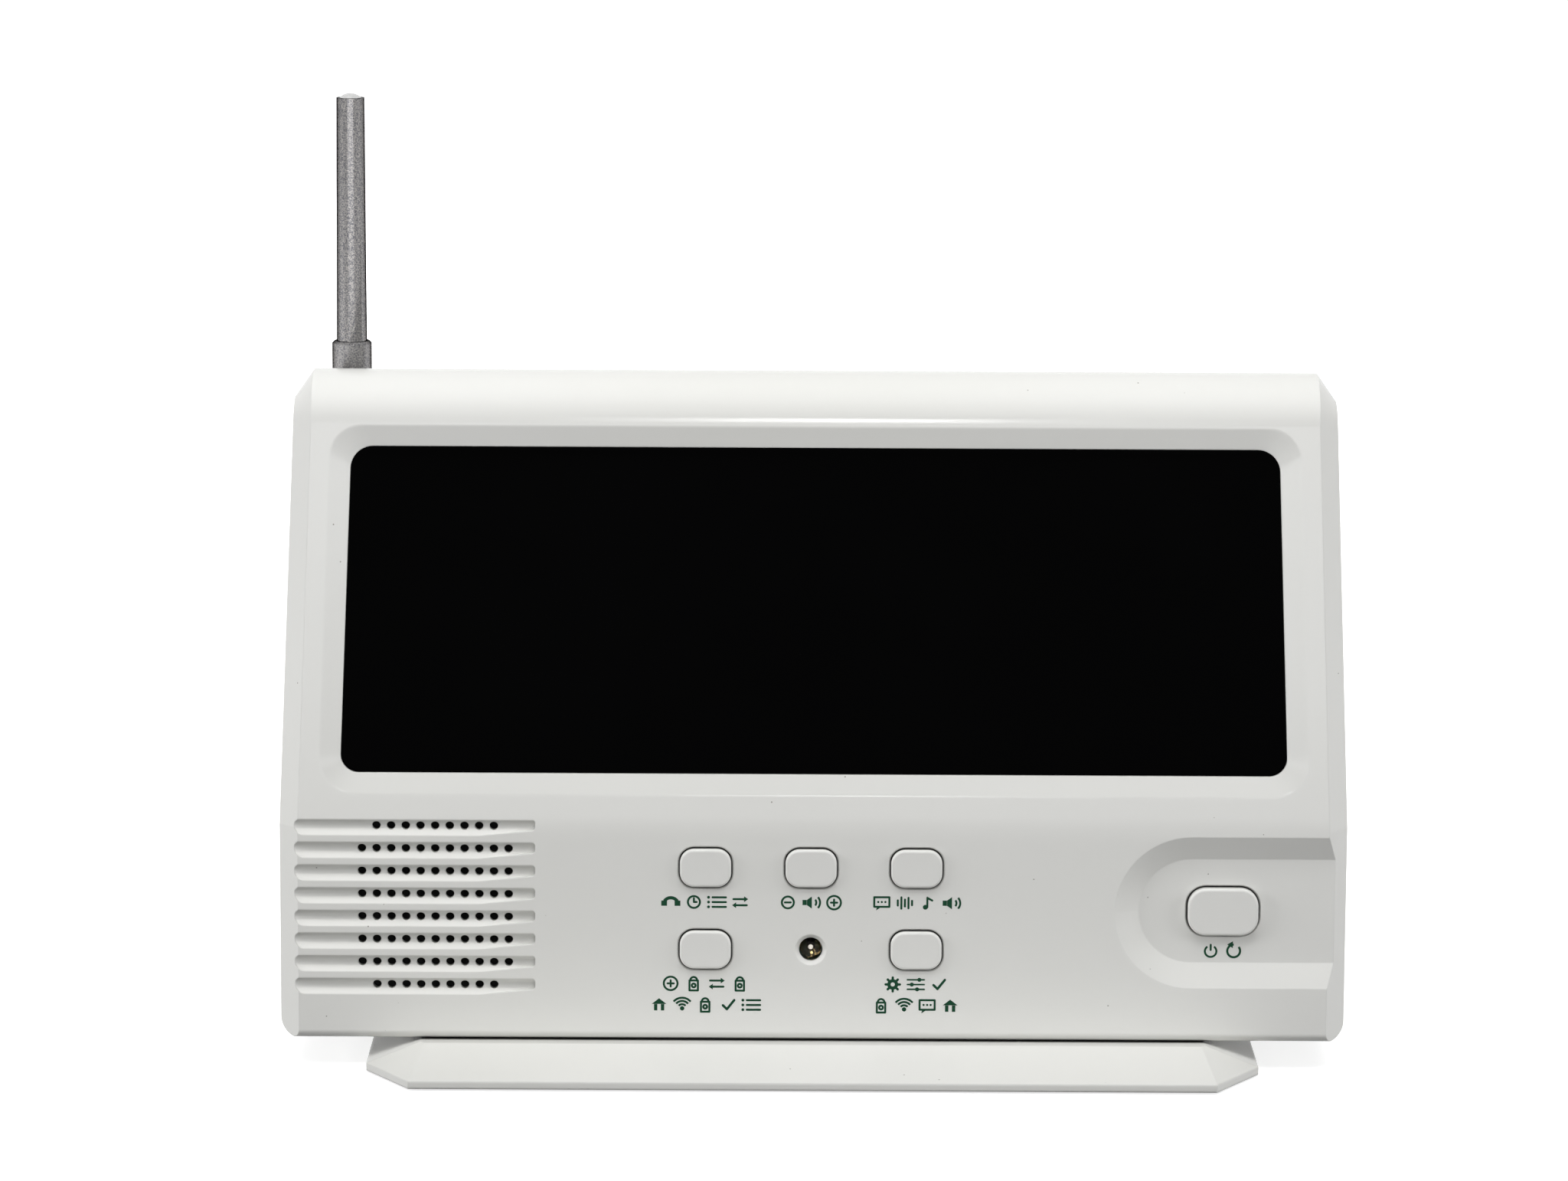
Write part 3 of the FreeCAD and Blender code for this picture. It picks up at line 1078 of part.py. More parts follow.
def jack(z, height, depth_y, collar_radius, bore_radius, bore_depth):
    """A jack body on the main board with a round collar in the case's left wall."""
    back = MAIN_BOARD_Y + BOARD_THICKNESS
    inner_x = -half_width_at(z) + WALL + GAP
    mouth_x = -half_width_at(z) - JACK_STAND_OUT
    body = box(inner_x, inner_x + JACK_LENGTH, back, back + depth_y, z - height / 2, z + height / 2)
    collar = rod(V(mouth_x, PARTING_Y, z), V(inner_x + WALL, PARTING_Y, z), collar_radius)
    bore = rod(V(mouth_x - OVERCUT, PARTING_Y, z), V(mouth_x + bore_depth, PARTING_Y, z), bore_radius)
    return body.fuse(collar).cut(bore)


def make_jacks():
    depth_y = 2 * (PARTING_Y - MAIN_BOARD_Y - BOARD_THICKNESS)
    save("aux_jack", jack(AUX_Z, AUX_HEIGHT, depth_y, AUX_COLLAR_RADIUS, AUX_BORE_RADIUS, AUX_BORE_LENGTH))
    inlet = jack(INLET_Z, 2 * INLET_COLLAR_RADIUS, depth_y, INLET_COLLAR_RADIUS, INLET_BORE_RADIUS,
                 INLET_BORE_DEPTH)
    mouth_x = -half_width_at(INLET_Z) - JACK_STAND_OUT
    pin = rod(V(mouth_x + INLET_PIN_RADIUS, PARTING_Y, INLET_Z),
              V(mouth_x + INLET_BORE_DEPTH, PARTING_Y, INLET_Z), INLET_PIN_RADIUS)
    save("power_inlet", inlet)
    save("inlet_pin", pin)


# ================================================================ battery
def cell_rows():
    for side in (-1, 1):
        yield BATTERY_Z + side * CELL_ROW_PITCH / 2, POCKET_FLOOR_Y + CELL_PLAY + CELL_RADIUS


def make_battery():
    left = -POCKET_LENGTH / 2
    right = POCKET_LENGTH / 2
    cells = []
    springs = []
    plates = []
    for z, y in cell_rows():
        for index in range(2):
            start = left + CONTACT_THICKNESS + SPRING_LENGTH + index * CELL_LENGTH
            end = start + CELL_LENGTH - CELL_NUB
            can = rod(V(start, y, z), V(end, y, z), CELL_RADIUS)
            can = can.makeFillet(SMALLEST_RADIUS, [edge for edge in can.Edges if edge.Closed])
            cells.append(can.fuse(rod(V(end, y, z), V(end + CELL_NUB, y, z), CELL_NUB_RADIUS)))
        for turn in range(SPRING_TURNS):
            step = (SPRING_LENGTH - 2 * SPRING_WIRE_RADIUS) / (SPRING_TURNS - 1)
            x = left + CONTACT_THICKNESS + SPRING_WIRE_RADIUS + turn * step
            springs.append(Part.makeTorus(SPRING_RADIUS - turn * SPRING_STEP, SPRING_WIRE_RADIUS,
                                          V(x, y, z), V(1, 0, 0)))
        half = CONTACT_SIZE / 2
        for x in (left, right - CONTACT_THICKNESS):
            plates.append(box(x, x + CONTACT_THICKNESS, y - half, y + half, z - half, z + half))
    save("battery_cells", *cells)
    save("battery_springs", *springs)
    save("battery_plates", *plates)


def make_battery_door():
    half = SEAT_HALF_WIDTH - GAP
    inner_y = REAR_Y - DOOR_THICKNESS
    plate = box(-half, half, inner_y, REAR_Y, DOOR_AXIS_Z, SEAT_HIGH_Z - GAP)
    barrel = rod(V(-half, DOOR_AXIS_Y, DOOR_AXIS_Z), V(half, DOOR_AXIS_Y, DOOR_AXIS_Z), DOOR_THICKNESS / 2)
    reach = half + DOOR_PIN_LENGTH
    pin = rod(V(-reach, DOOR_AXIS_Y, DOOR_AXIS_Z), V(reach, DOOR_AXIS_Y, DOOR_AXIS_Z), DOOR_PIN_RADIUS)
    save("battery_door", fuse_all([plate, barrel, pin]))


# ================================================================ antenna
def make_antenna():
    x, y = ANTENNA_X, ANTENNA_Y
    front = y - KNUCKLE_WIDTH / 2
    back = y + KNUCKLE_WIDTH / 2
    knuckle = rod_y(x, PIVOT_Z, front, back, KNUCKLE_RADIUS)
    neck = rod(V(x, y, PIVOT_Z), V(x, y, NECK_TOP_Z), NECK_RADIUS)
    bore = rod_y(x, PIVOT_Z, front - OVERCUT, back + OVERCUT, SHANK_RADIUS + RUNNING)
    knuckle = knuckle.fuse(neck).cut(bore)
    save("antenna_knuckle", knuckle)
    collar = rod(V(x, y, COLLAR_LOW_Z), V(x, y, COLLAR_TOP_Z), COLLAR_RADIUS)
    rim = [edge for edge in collar.Edges if edge.Closed and edge.BoundBox.ZMin > COLLAR_TOP_Z - TOUCH]
    collar = collar.makeChamfer(COLLAR_CHAMFER, rim)
    bore_radius = max(NECK_RADIUS, ROD_RADIUS_LOW) + RUNNING
    bore = rod(V(x, y, COLLAR_LOW_Z - OVERCUT), V(x, y, COLLAR_TOP_Z + OVERCUT), bore_radius)
    save("antenna_collar", collar.cut(bore))
    save("antenna_rod", Part.makeCone(ROD_RADIUS_LOW, ROD_RADIUS_HIGH, ROD_TOP_Z - NECK_TOP_Z,
                                      V(x, y, NECK_TOP_Z)))
    sphere_radius = (TIP_RADIUS ** 2 + TIP_HEIGHT ** 2) / (2 * TIP_HEIGHT)
    sphere = Part.makeSphere(sphere_radius, V(x, y, ROD_TOP_Z + TIP_HEIGHT - sphere_radius))
    save("antenna_tip", sphere.common(rod(V(x, y, ROD_TOP_Z), V(x, y, ROD_TOP_Z + 2 * TIP_HEIGHT),
                                          TIP_RADIUS)))
    seat_y = back + GAP
    save("antenna_pivot", screw_y(x, PIVOT_Z, seat_y, seat_y - PIVOT_BOSS_FRONT_Y, SHANK_RADIUS,
                                  PIVOT_HEAD_RADIUS, HEAD_HEIGHT))


# ================================================================ foot
def foot_outline(width, depth, corner_x, corner_y):
    half_x = width / 2
    half_y = depth / 2
    return [(half_x - corner_x, -half_y), (half_x, corner_y - half_y), (half_x, half_y - corner_y),
            (half_x - corner_x, half_y), (corner_x - half_x, half_y), (-half_x, half_y - corner_y),
            (-half_x, corner_y - half_y), (corner_x - half_x, -half_y)]


def foot_face(points, inset, z):
    return rounded_face(inset_points(points, inset), [0] * len(points), plan_view(z))


def make_foot():
    rim = foot_outline(FOOT_WIDTH, FOOT_DEPTH, FOOT_CORNER_X, FOOT_CORNER_Y)
    top_corner_y = FOOT_TOP_CORNER_X * FOOT_CORNER_Y / FOOT_CORNER_X
    top = foot_outline(FOOT_TOP_WIDTH, FOOT_TOP_DEPTH, FOOT_TOP_CORNER_X, top_corner_y)
    base = foot_face(rim, 0, FOOT_LIFT).extrude(V(0, 0, FOOT_RIM_Z - FOOT_LIFT))
    outer = base.fuse(loft(foot_face(rim, 0, FOOT_RIM_Z), foot_face(top, 0, FOOT_TOP_Z)))
    hollow = loft(foot_face(rim, FOOT_WALL, 0), foot_face(top, FOOT_WALL, FOOT_TOP_Z - FOOT_WALL))
    additions = []
    pockets = []
    pads = []
    for x in (-PAD_X, PAD_X):
        for y in (-PAD_Y, PAD_Y):
            additions.append(rod(V(x, y, FOOT_LIFT), V(x, y, FOOT_TOP_Z), PAD_SEAT_RADIUS).common(outer))
            pockets.append(rod(V(x, y, 0), V(x, y, PAD_THICKNESS), PAD_RADIUS))
            pads.append(rod(V(x, y, 0), V(x, y, PAD_THICKNESS), PAD_RADIUS))
    screws = []
    for side in (-1, 1):
        x, y = side * FOOT_SCREW_X, FOOT_SCREW_Y
        additions.append(rod(V(x, y, FOOT_LIFT), V(x, y, UNDERSIDE_Z), FOOT_POST_RADIUS))
        pockets.append(rod(V(x, y, 0), V(x, y, FOOT_SCREW_SEAT_Z), HEAD_RADIUS + GAP))
        pockets.append(rod(V(x, y, 0), V(x, y, UNDERSIDE_Z + OVERCUT), SHANK_RADIUS + RUNNING))
        head = rod(V(x, y, FOOT_SCREW_SEAT_Z - HEAD_HEIGHT), V(x, y, FOOT_SCREW_SEAT_Z), HEAD_RADIUS)
        shank = rod(V(x, y, FOOT_SCREW_SEAT_Z), V(x, y, FOOT_SCREW_SEAT_Z + FOOT_SCREW_LENGTH), SHANK_RADIUS)
        screws.append(head.fuse(shank))
    foot = outer.cut(hollow)
    for piece in additions:
        foot = foot.fuse(piece)
    for piece in pockets:
        foot = foot.cut(piece)
    save("foot", foot)
    save("rubber_feet", *pads)
    save("foot_screws", *screws)


# ================================================================ leads
def lead(points, radius):
    """A round lead along straight runs joined by tangent arcs as large as the runs allow."""
    path = []
    at = points[0]
    for index in range(1, len(points) - 1):
        corner = points[index]
        back = points[index - 1].sub(corner)
        ahead = points[index + 1].sub(corner)
        reach = LEAD_BEND_SHARE * min(back.Length, ahead.Length)
        start = corner + back.normalize() * reach
        end = corner + ahead.normalize() * reach
        opening = back.getAngle(ahead)
        middle = back + ahead
        crown = corner + middle.normalize() * (reach / math.cos(opening / 2)
                                               - reach * math.tan(opening / 2))
        path.append(Part.LineSegment(at, start).toShape())
        path.append(Part.Arc(start, crown, end).toShape())
        at = end
    path.append(Part.LineSegment(at, points[-1]).toShape())
    spine = Part.Wire(path)
    first = points[1].sub(points[0])
    circle = Part.makeCircle(radius, points[0], first)
    return spine.makePipeShell([Part.Wire(circle)], True, False)


def make_leads():
    board_front = MAIN_BOARD_Y
    board_back = MAIN_BOARD_Y + BOARD_THICKNESS
    tab_y = SPEAKER_FLANGE_Y + SPEAKER_FLANGE
    behind_magnet = SPEAKER_FLANGE_Y + SPEAKER_DEPTH + MAGNET_HEIGHT
    speaker = []
    battery = []
    for side in (-1, 1):
        x = SPEAKER_X + SPEAKER_RADIUS - LEAD_WIRE_RADIUS - RUNNING
        y = behind_magnet - side * LEAD_PITCH
        low = SPEAKER_Z + side * LEAD_PITCH
        high = MAIN_BOARD_LOW + LEAD_REACH + side * LEAD_PITCH
        speaker.append(lead([V(x, tab_y, low), V(x, y, low), V(x, y, high), V(x, board_front, high)],
                            LEAD_WIRE_RADIUS))
        x = POCKET_LENGTH / 2 - LEAD_REACH + side * LEAD_PITCH
        top = BATTERY_Z + POCKET_HEIGHT / 2 + BATTERY_WALL
        battery.append(lead([V(x, BATTERY_LEAD_Y, top), V(x, BATTERY_LEAD_Y, MAIN_BOARD_LOW + 2 * LEAD_REACH),
                             V(x, board_back, MAIN_BOARD_LOW + 2 * LEAD_REACH)], LEAD_WIRE_RADIUS))
    save("speaker_lead", *speaker)
    save("battery_lead", *battery)
    radio_y = board_back + RADIO_LIFT + BOARD_THICKNESS / 4
    radio_z = RADIO_LOW + RADIO_HEIGHT / 2
    start_x = ANTENNA_X + PIVOT_BOSS_RADIUS
    start_y = PIVOT_BOSS_FRONT_Y + 2 * LEAD_WIRE_RADIUS
    turn_x = RADIO_X - 2 * LEAD_REACH
    save("antenna_lead", lead([V(start_x, start_y, PIVOT_Z), V(turn_x, start_y, PIVOT_Z),
                               V(turn_x, radio_y, PIVOT_Z), V(turn_x, radio_y, radio_z),
                               V(RADIO_X, radio_y, radio_z)], LEAD_WIRE_RADIUS))


def main():
    outer = case_block(0)
    hollow = case_block(WALL)
    make_front_housing(outer, hollow)
    make_rear_housing(outer, hollow)
    make_case_screws()
    make_display()
    make_keys()
    make_key_board()
    make_lamp()
    make_speaker()
    make_main_board()
    make_radio()
    make_jacks()
    make_battery()
    make_battery_door()
    make_antenna()
    make_foot()
    make_leads()
    for name, shape in PARTS.items():
        shape.exportStep("parts/" + name + ".step")


main()
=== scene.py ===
"""Looks for the medical alert base station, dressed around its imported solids. Lengths are metres."""
import json
import math

import bmesh
import bpy
from mathutils import Matrix, Vector


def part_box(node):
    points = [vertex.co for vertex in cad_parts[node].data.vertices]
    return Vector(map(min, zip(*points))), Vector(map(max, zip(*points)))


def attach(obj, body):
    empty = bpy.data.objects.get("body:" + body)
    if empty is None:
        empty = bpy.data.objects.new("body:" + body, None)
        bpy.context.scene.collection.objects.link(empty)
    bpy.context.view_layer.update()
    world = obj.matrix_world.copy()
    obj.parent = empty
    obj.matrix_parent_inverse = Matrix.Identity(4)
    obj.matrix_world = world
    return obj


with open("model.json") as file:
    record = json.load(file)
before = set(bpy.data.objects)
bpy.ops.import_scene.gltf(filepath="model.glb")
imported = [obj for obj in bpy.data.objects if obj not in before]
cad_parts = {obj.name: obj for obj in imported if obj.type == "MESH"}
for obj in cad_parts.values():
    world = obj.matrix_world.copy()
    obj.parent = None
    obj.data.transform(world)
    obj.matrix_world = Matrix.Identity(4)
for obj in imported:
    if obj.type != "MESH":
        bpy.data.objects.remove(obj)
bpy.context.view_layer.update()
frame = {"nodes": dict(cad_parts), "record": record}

MM = 0.001

# ---------------------------------------------------------------- camera
SENSOR_WIDTH = 36.0
FOCAL_LENGTH = 142.73
CAMERA_PLACE = Vector((-0.00691, -1.39833, 0.34028))
CAMERA_PITCH = math.radians(9.55)      # looking down
CAMERA_ROLL = math.radians(0.28)

# ---------------------------------------------------------------- light
PURE_WHITE = (1, 1, 1, 1)
WORLD_FILL = 0.10                      # the strength of the even light on things,
BACKGROUND = 1.0                       # and of the white that is seen behind them
FLOOR_SIZE = 16.0
FLOOR_SEEN = (0.95, 0.95, 0.95, 1)     # the floor's colour in the picture
FLOOR_SEEN_SHADE = (0.93, 0.93, 0.93, 1)
FLOOR_BOUNCE = (0.12, 0.12, 0.12, 1)   # the floor's colour for the light that it throws back
FLOOR_GLOW = 0.70                      # the white that the floor adds by itself near the object,
FLOOR_GLOW_REACH = (0.30, 0.80)        # rising to the background's between these distances from the middle
SUBJECT = Vector((0.0, 0.0, 0.09))     # what the lamps face
LAMPS = {                              # place, width, height, watts, whether it shows in gloss
    "near_softbox": ((0.0, -0.35, 0.75), 0.9, 0.35, 4.0, False),
    "overhead_softbox": ((0.0, -0.05, 1.0), 0.9, 0.5, 0.9, False),
    "low_front_panel": ((0.0, -2.2, 0.17), 2.0, 0.35, 5.6, True),
    "left_softbox": ((-1.5, -0.4, 0.5), 0.6, 0.6, 11.0, False),
    "right_softbox": ((1.5, -0.4, 0.5), 0.6, 0.6, 8.5, False),
    "back_softbox": ((0.0, 1.7, 0.7), 1.4, 0.6, 16.0, False),
    "highlight_lamp": ((0.019, -1.6, 0.50), 0.106, 0.06, 0.9, True),
}

# ---------------------------------------------------------------- colours, linear
CASE_WHITE = (0.80, 0.80, 0.775, 1)
CASE_SHADE = (0.775, 0.775, 0.745, 1)
FOOT_WHITE = (0.745, 0.745, 0.72, 1)
FOOT_SHADE = (0.72, 0.72, 0.69, 1)
KEY_WHITE = (0.80, 0.80, 0.775, 1)
KEY_SHADE = (0.775, 0.775, 0.75, 1)
SPECK_GREY = (0.34, 0.33, 0.30, 1)
# painted shade: the dark that a colour turns to in narrow gaps, holes and grooves
CREVICE_SHADE_PAINT = (0.030, 0.029, 0.027, 1)
LEGEND_GREEN = (0.0006, 0.034, 0.013, 1)
LEGEND_GREEN_WORN = (0.0012, 0.046, 0.019, 1)
WINDOW_BLACK = (0.0003, 0.0003, 0.0004, 1)
WINDOW_SMUDGE = (0.0007, 0.0007, 0.0008, 1)
PANEL_GLASS = (0.02, 0.03, 0.025, 1)
PANEL_GLASS_SHADE = (0.015, 0.022, 0.018, 1)
EPOXY_HAZY = (0.86, 0.86, 0.84, 1)
EPOXY_CLEAR = (0.95, 0.95, 0.94, 1)
EPOXY_GLOSS = (0.30, 0.27, 0.25, 1)    # the tint of what the lens reflects
MASK_GREEN = (0.012, 0.105, 0.040, 1)
TRACK_GREEN = (0.022, 0.190, 0.075, 1)
SOFT_BLACK = (0.012, 0.012, 0.012, 1)
COMPONENT_BLACK = (0.010, 0.010, 0.011, 1)
CONE_BLACK = (0.010, 0.010, 0.010, 1)
RUBBER_BLACK = (0.020, 0.020, 0.020, 1)
FERRITE_GREY = (0.035, 0.035, 0.035, 1)
WIRE_RED = (0.180, 0.008, 0.008, 1)
CAP_GREY = (0.62, 0.62, 0.61, 1)
CAP_SHADE = (0.50, 0.50, 0.50, 1)
NO_GLOSS = (0, 0, 0, 1)                # the paint's tint where its surface turns away
ZINC = ((0.38, 0.38, 0.37, 1), (0.66, 0.66, 0.63, 1))            # each metal's dark and light lines
NICKEL = ((0.50, 0.49, 0.46, 1), (0.75, 0.74, 0.70, 1))
BLACK_STEEL = ((0.02, 0.02, 0.02, 1), (0.05, 0.05, 0.05, 1))
CELL_SLEEVE = ((0.46, 0.47, 0.49, 1), (0.58, 0.59, 0.61, 1))
LAMP_SILVER = ((0.20, 0.18, 0.16, 1), (0.66, 0.62, 0.55, 1))
LAMP_GOLD = ((0.50, 0.33, 0.12, 1), (0.85, 0.63, 0.30, 1))
ROD_PAINT = ((0.10, 0.10, 0.11, 1), (0.27, 0.26, 0.25, 1))       # each paint's dark and light flakes
COLLAR_PAINT = ((0.13, 0.13, 0.14, 1), (0.31, 0.30, 0.29, 1))

# ---------------------------------------------------------------- fineness of textures, cycles per metre
TONE_DRIFT = 9.0
POLISH_DRIFT = 30.0
MOULD_FLOW = 420.0
SPECK_CELLS = 150.0
WINDOW_SMUDGES = 30.0
WINDOW_WAVE = 9.0
EPOXY_HAZE = 900.0
DULL_GRAIN = 1200.0
METAL_LINES = 700.0
BOARD_TRACKS = 160.0
MASK_SHEEN = 400.0
INK_WEAR = 1500.0
PAPER_FIBRES = 40.0

# ---------------------------------------------------------------- other surface sizes
SPECK_RADIUS = 0.22 * MM
SPECK_CORE = 0.6                       # the share of a speck's radius that has its full colour
CREVICE_REACH = 1.6 * MM
CREVICE_OPENNESS = (0.10, 0.55)        # how open a place is where the painted shade is darkest, and where it ends
CREVICE_SAMPLES = 6
ROUNDING_SAMPLES = 8
PAINT_GRAIN = 0.24 * MM                # the size of one pit in the antenna's paint
FLAKES_PER_GRAIN = 0.7                 # cycles of the flakes' noise in that length
GRAIN_LIGHTER = 1.6                    # how much lighter a dull material's grain is than its ground
EPOXY_IOR = 1.52
ALONG_Z = (1.0, 1.0, 0.12)             # texture scales that draw a metal's lines out along an axis
ALONG_X = (0.03, 1.0, 1.0)
MIX_INPUTS = (0, 6, 7)                 # a colour Mix node's factor, first and second colour,
MIX_RESULT = 2                         # and the output with their blend


# ================================================================ node helpers
def new_material(name):
    """A material with its Principled shader, ready for nodes."""
    material = bpy.data.materials.new(name)
    material.use_nodes = True
    shader = material.node_tree.nodes["Principled BSDF"]
    return material, material.node_tree, shader


def set_up(node, **settings):
    """Set a node's attributes and sockets; a socket's name has underscores for its spaces."""
    for name, value in settings.items():
        if hasattr(node, name):
            setattr(node, name, value)
        else:
            node.inputs[name.replace("_", " ")].default_value = value


def add(tree, kind, **settings):
    """A new node with its attributes and sockets set."""
    node = tree.nodes.new(kind)
    set_up(node, **settings)
    return node


def object_place(tree):
    """Where a point lies on its object, which moves with the object."""
    return tree.nodes.new("ShaderNodeTexCoord").outputs["Object"]


def noise(tree, scale, detail=3.0, roughness=0.5, stretch=None):
    """Noise at a scale in cycles per metre, drawn out along an axis if asked."""
    texture = add(tree, "ShaderNodeTexNoise", Scale=scale, Detail=detail, Roughness=roughness)
    place = object_place(tree)
    if stretch:
        mapping = add(tree, "ShaderNodeMapping", Scale=stretch)
        tree.links.new(place, mapping.inputs["Vector"])
        place = mapping.outputs["Vector"]
    tree.links.new(place, texture.inputs["Vector"])
    return texture.outputs["Fac"]


def cells(tree, scale):
    """The distance from the middle of the nearest of many scattered cells, in cells."""
    cellular = add(tree, "ShaderNodeTexVoronoi", Scale=scale)
    tree.links.new(object_place(tree), cellular.inputs["Vector"])
    return cellular.outputs["Distance"]


def ramp(tree, source, first, second, start=0.3, end=0.7):
    """A colour from first to second as the source goes from start to end."""
    node = tree.nodes.new("ShaderNodeValToRGB")
    for element, position, color in zip(node.color_ramp.elements, (start, end), (first, second)):
        element.position = position
        element.color = color
    tree.links.new(source, node.inputs["Fac"])
    return node.outputs["Color"]


def spread(tree, source, low, high, start=0.3, end=0.7):
    """A value from low to high as the source goes from start to end."""
    node = add(tree, "ShaderNodeMapRange", From_Min=start, From_Max=end, To_Min=low, To_Max=high)
    tree.links.new(source, node.inputs["Value"])
    return node.outputs["Result"]


def mix_colors(tree, factor, first, second):
    """Two colours blended by a factor; each colour may be a value or another node's output."""
    node = add(tree, "ShaderNodeMix", data_type="RGBA")
    for index, value in zip(MIX_INPUTS, (factor, first, second)):
        if isinstance(value, bpy.types.NodeSocket):
            tree.links.new(value, node.inputs[index])
        else:
            node.inputs[index].default_value = value
    return node.outputs[MIX_RESULT]


def mix_shaders(tree, factor, first, second):
    """The first shader where the factor is 0, the second where it is 1."""
    node = tree.nodes.new("ShaderNodeMixShader")
    tree.links.new(factor, node.inputs["Fac"])
    tree.links.new(first, node.inputs[1])
    tree.links.new(second, node.inputs[2])
    return node.outputs["Shader"]


def color_surface(tree, shader, color):
    tree.links.new(color, shader.inputs["Base Color"])


def roughen(tree, shader, source, low, high):
    """A roughness from low to high with the source."""
    tree.links.new(spread(tree, source, low, high), shader.inputs["Roughness"])


def bump(tree, shader, height, strength, depth, rounding=0.0):
    """Surface relief; rounding softens the look of sharp edges by that radius."""
    node = add(tree, "ShaderNodeBump", Strength=strength, Distance=depth)
    tree.links.new(height, node.inputs["Height"])
    if rounding:
        soft = add(tree, "ShaderNodeBevel", samples=ROUNDING_SAMPLES, Radius=rounding)
        tree.links.new(soft.outputs["Normal"], node.inputs["Normal"])
    tree.links.new(node.outputs["Normal"], shader.inputs["Normal"])


# ================================================================ materials
def dust_specks(tree):
    """1 inside sparse round specks, 0 around them."""
    edge = SPECK_RADIUS * SPECK_CELLS
    return spread(tree, cells(tree, SPECK_CELLS), 1.0, 0.0, edge * SPECK_CORE, edge)


def painted_crevice_shade(tree, tone):
    """Darken a colour in narrow gaps, holes and grooves: painted shade, where less light reaches."""
    sky = add(tree, "ShaderNodeAmbientOcclusion", samples=CREVICE_SAMPLES, Distance=CREVICE_REACH)
    openness = spread(tree, sky.outputs["AO"], 0.0, 1.0, *CREVICE_OPENNESS)
    return mix_colors(tree, openness, CREVICE_SHADE_PAINT, tone)


def moulded_plastic(name, color, shade, roughness, rounding, dusty=False):
    """Satin moulded plastic: broad tone drift, painted shade in gaps, fine flow texture, faint dust specks
    if asked.
    """
    material, tree, shader = new_material(name)
    tone = ramp(tree, noise(tree, TONE_DRIFT, detail=1.0), shade, color)
    if dusty:
        tone = mix_colors(tree, dust_specks(tree), tone, SPECK_GREY)
    # painted shade darkens the colour in gaps, holes and grooves
    color_surface(tree, shader, painted_crevice_shade(tree, tone))
    polish = noise(tree, POLISH_DRIFT, detail=2.0)
    roughen(tree, shader, polish, low=roughness - 0.02, high=roughness + 0.03)
    flow = noise(tree, MOULD_FLOW, detail=2.0)
    bump(tree, shader, flow, strength=0.05, depth=0.03 * MM, rounding=rounding)
    set_up(shader, Specular_IOR_Level=0.45)
    return material


def tinted_window(name):
    """Black tinted acrylic: almost no diffuse colour, polished, with faint smudges."""
    material, tree, shader = new_material(name)
    smudge = noise(tree, WINDOW_SMUDGES, detail=4.0)
    color_surface(tree, shader, ramp(tree, smudge, WINDOW_BLACK, WINDOW_SMUDGE, start=0.4, end=0.75))
    roughen(tree, shader, smudge, low=0.05, high=0.11)
    bump(tree, shader, noise(tree, WINDOW_WAVE, detail=1.0), strength=0.03, depth=0.1 * MM)
    set_up(shader, Specular_IOR_Level=0.005)
    return material


def metallic_paint(name, colors, roughness):
    """Dark silver paint over a finely pitted skin, darkest where its surface turns away."""
    material, tree, shader = new_material(name)
    flakes = noise(tree, FLAKES_PER_GRAIN / PAINT_GRAIN, detail=2.0, roughness=0.6)
    color_surface(tree, shader, ramp(tree, flakes, *colors, start=0.36, end=0.64))
    roughen(tree, shader, flakes, low=roughness - 0.04, high=roughness + 0.05)
    pits = cells(tree, 1.0 / PAINT_GRAIN)
    bump(tree, shader, pits, strength=0.16, depth=0.06 * MM, rounding=0.2 * MM)
    set_up(shader, Metallic=1.0, Specular_Tint=NO_GLOSS)
    return material


def clear_epoxy(name):
    """The lamp's clear lens, with a faint haze."""
    material, tree, shader = new_material(name)
    haze = noise(tree, EPOXY_HAZE, detail=2.0)
    color_surface(tree, shader, ramp(tree, haze, EPOXY_HAZY, EPOXY_CLEAR))
    roughen(tree, shader, haze, low=0.01, high=0.04)
    set_up(shader, Transmission_Weight=1.0, IOR=EPOXY_IOR, Specular_Tint=EPOXY_GLOSS)
    return material


def dull_material(name, color):
    """Moulded rubber, foam, paper or sintered material with a fine grain."""
    material, tree, shader = new_material(name)
    grain = noise(tree, DULL_GRAIN, detail=4.0)
    light = tuple(channel * GRAIN_LIGHTER for channel in color[:3]) + (1,)
    color_surface(tree, shader, ramp(tree, grain, color, light, start=0.35))
    roughen(tree, shader, grain, low=0.62, high=0.85)
    bump(tree, shader, grain, strength=0.4, depth=0.05 * MM)
    return material


def brushed_metal(name, colors, roughness, stretch=ALONG_Z):
    """Plated or bare metal with fine lines from its making."""
    material, tree, shader = new_material(name)
    lines = noise(tree, METAL_LINES, stretch=stretch)
    color_surface(tree, shader, ramp(tree, lines, *colors))
    roughen(tree, shader, lines, low=roughness - 0.06, high=roughness + 0.1)
    bump(tree, shader, lines, strength=0.15, depth=0.02 * MM, rounding=0.1 * MM)
    set_up(shader, Metallic=1.0)
    return material


def circuit_board(name):
    """Green solder mask over faint copper tracks."""
    material, tree, shader = new_material(name)
    wave = add(tree, "ShaderNodeTexWave", Scale=BOARD_TRACKS, Distortion=6.0, Detail=1.0, Detail_Scale=0.6)
    tree.links.new(object_place(tree), wave.inputs["Vector"])
    tracks = wave.outputs["Fac"]
    color_surface(tree, shader, ramp(tree, tracks, MASK_GREEN, TRACK_GREEN, start=0.42, end=0.58))
    roughen(tree, shader, noise(tree, MASK_SHEEN), low=0.28, high=0.42)
    bump(tree, shader, tracks, strength=0.3, depth=0.03 * MM)
    return material


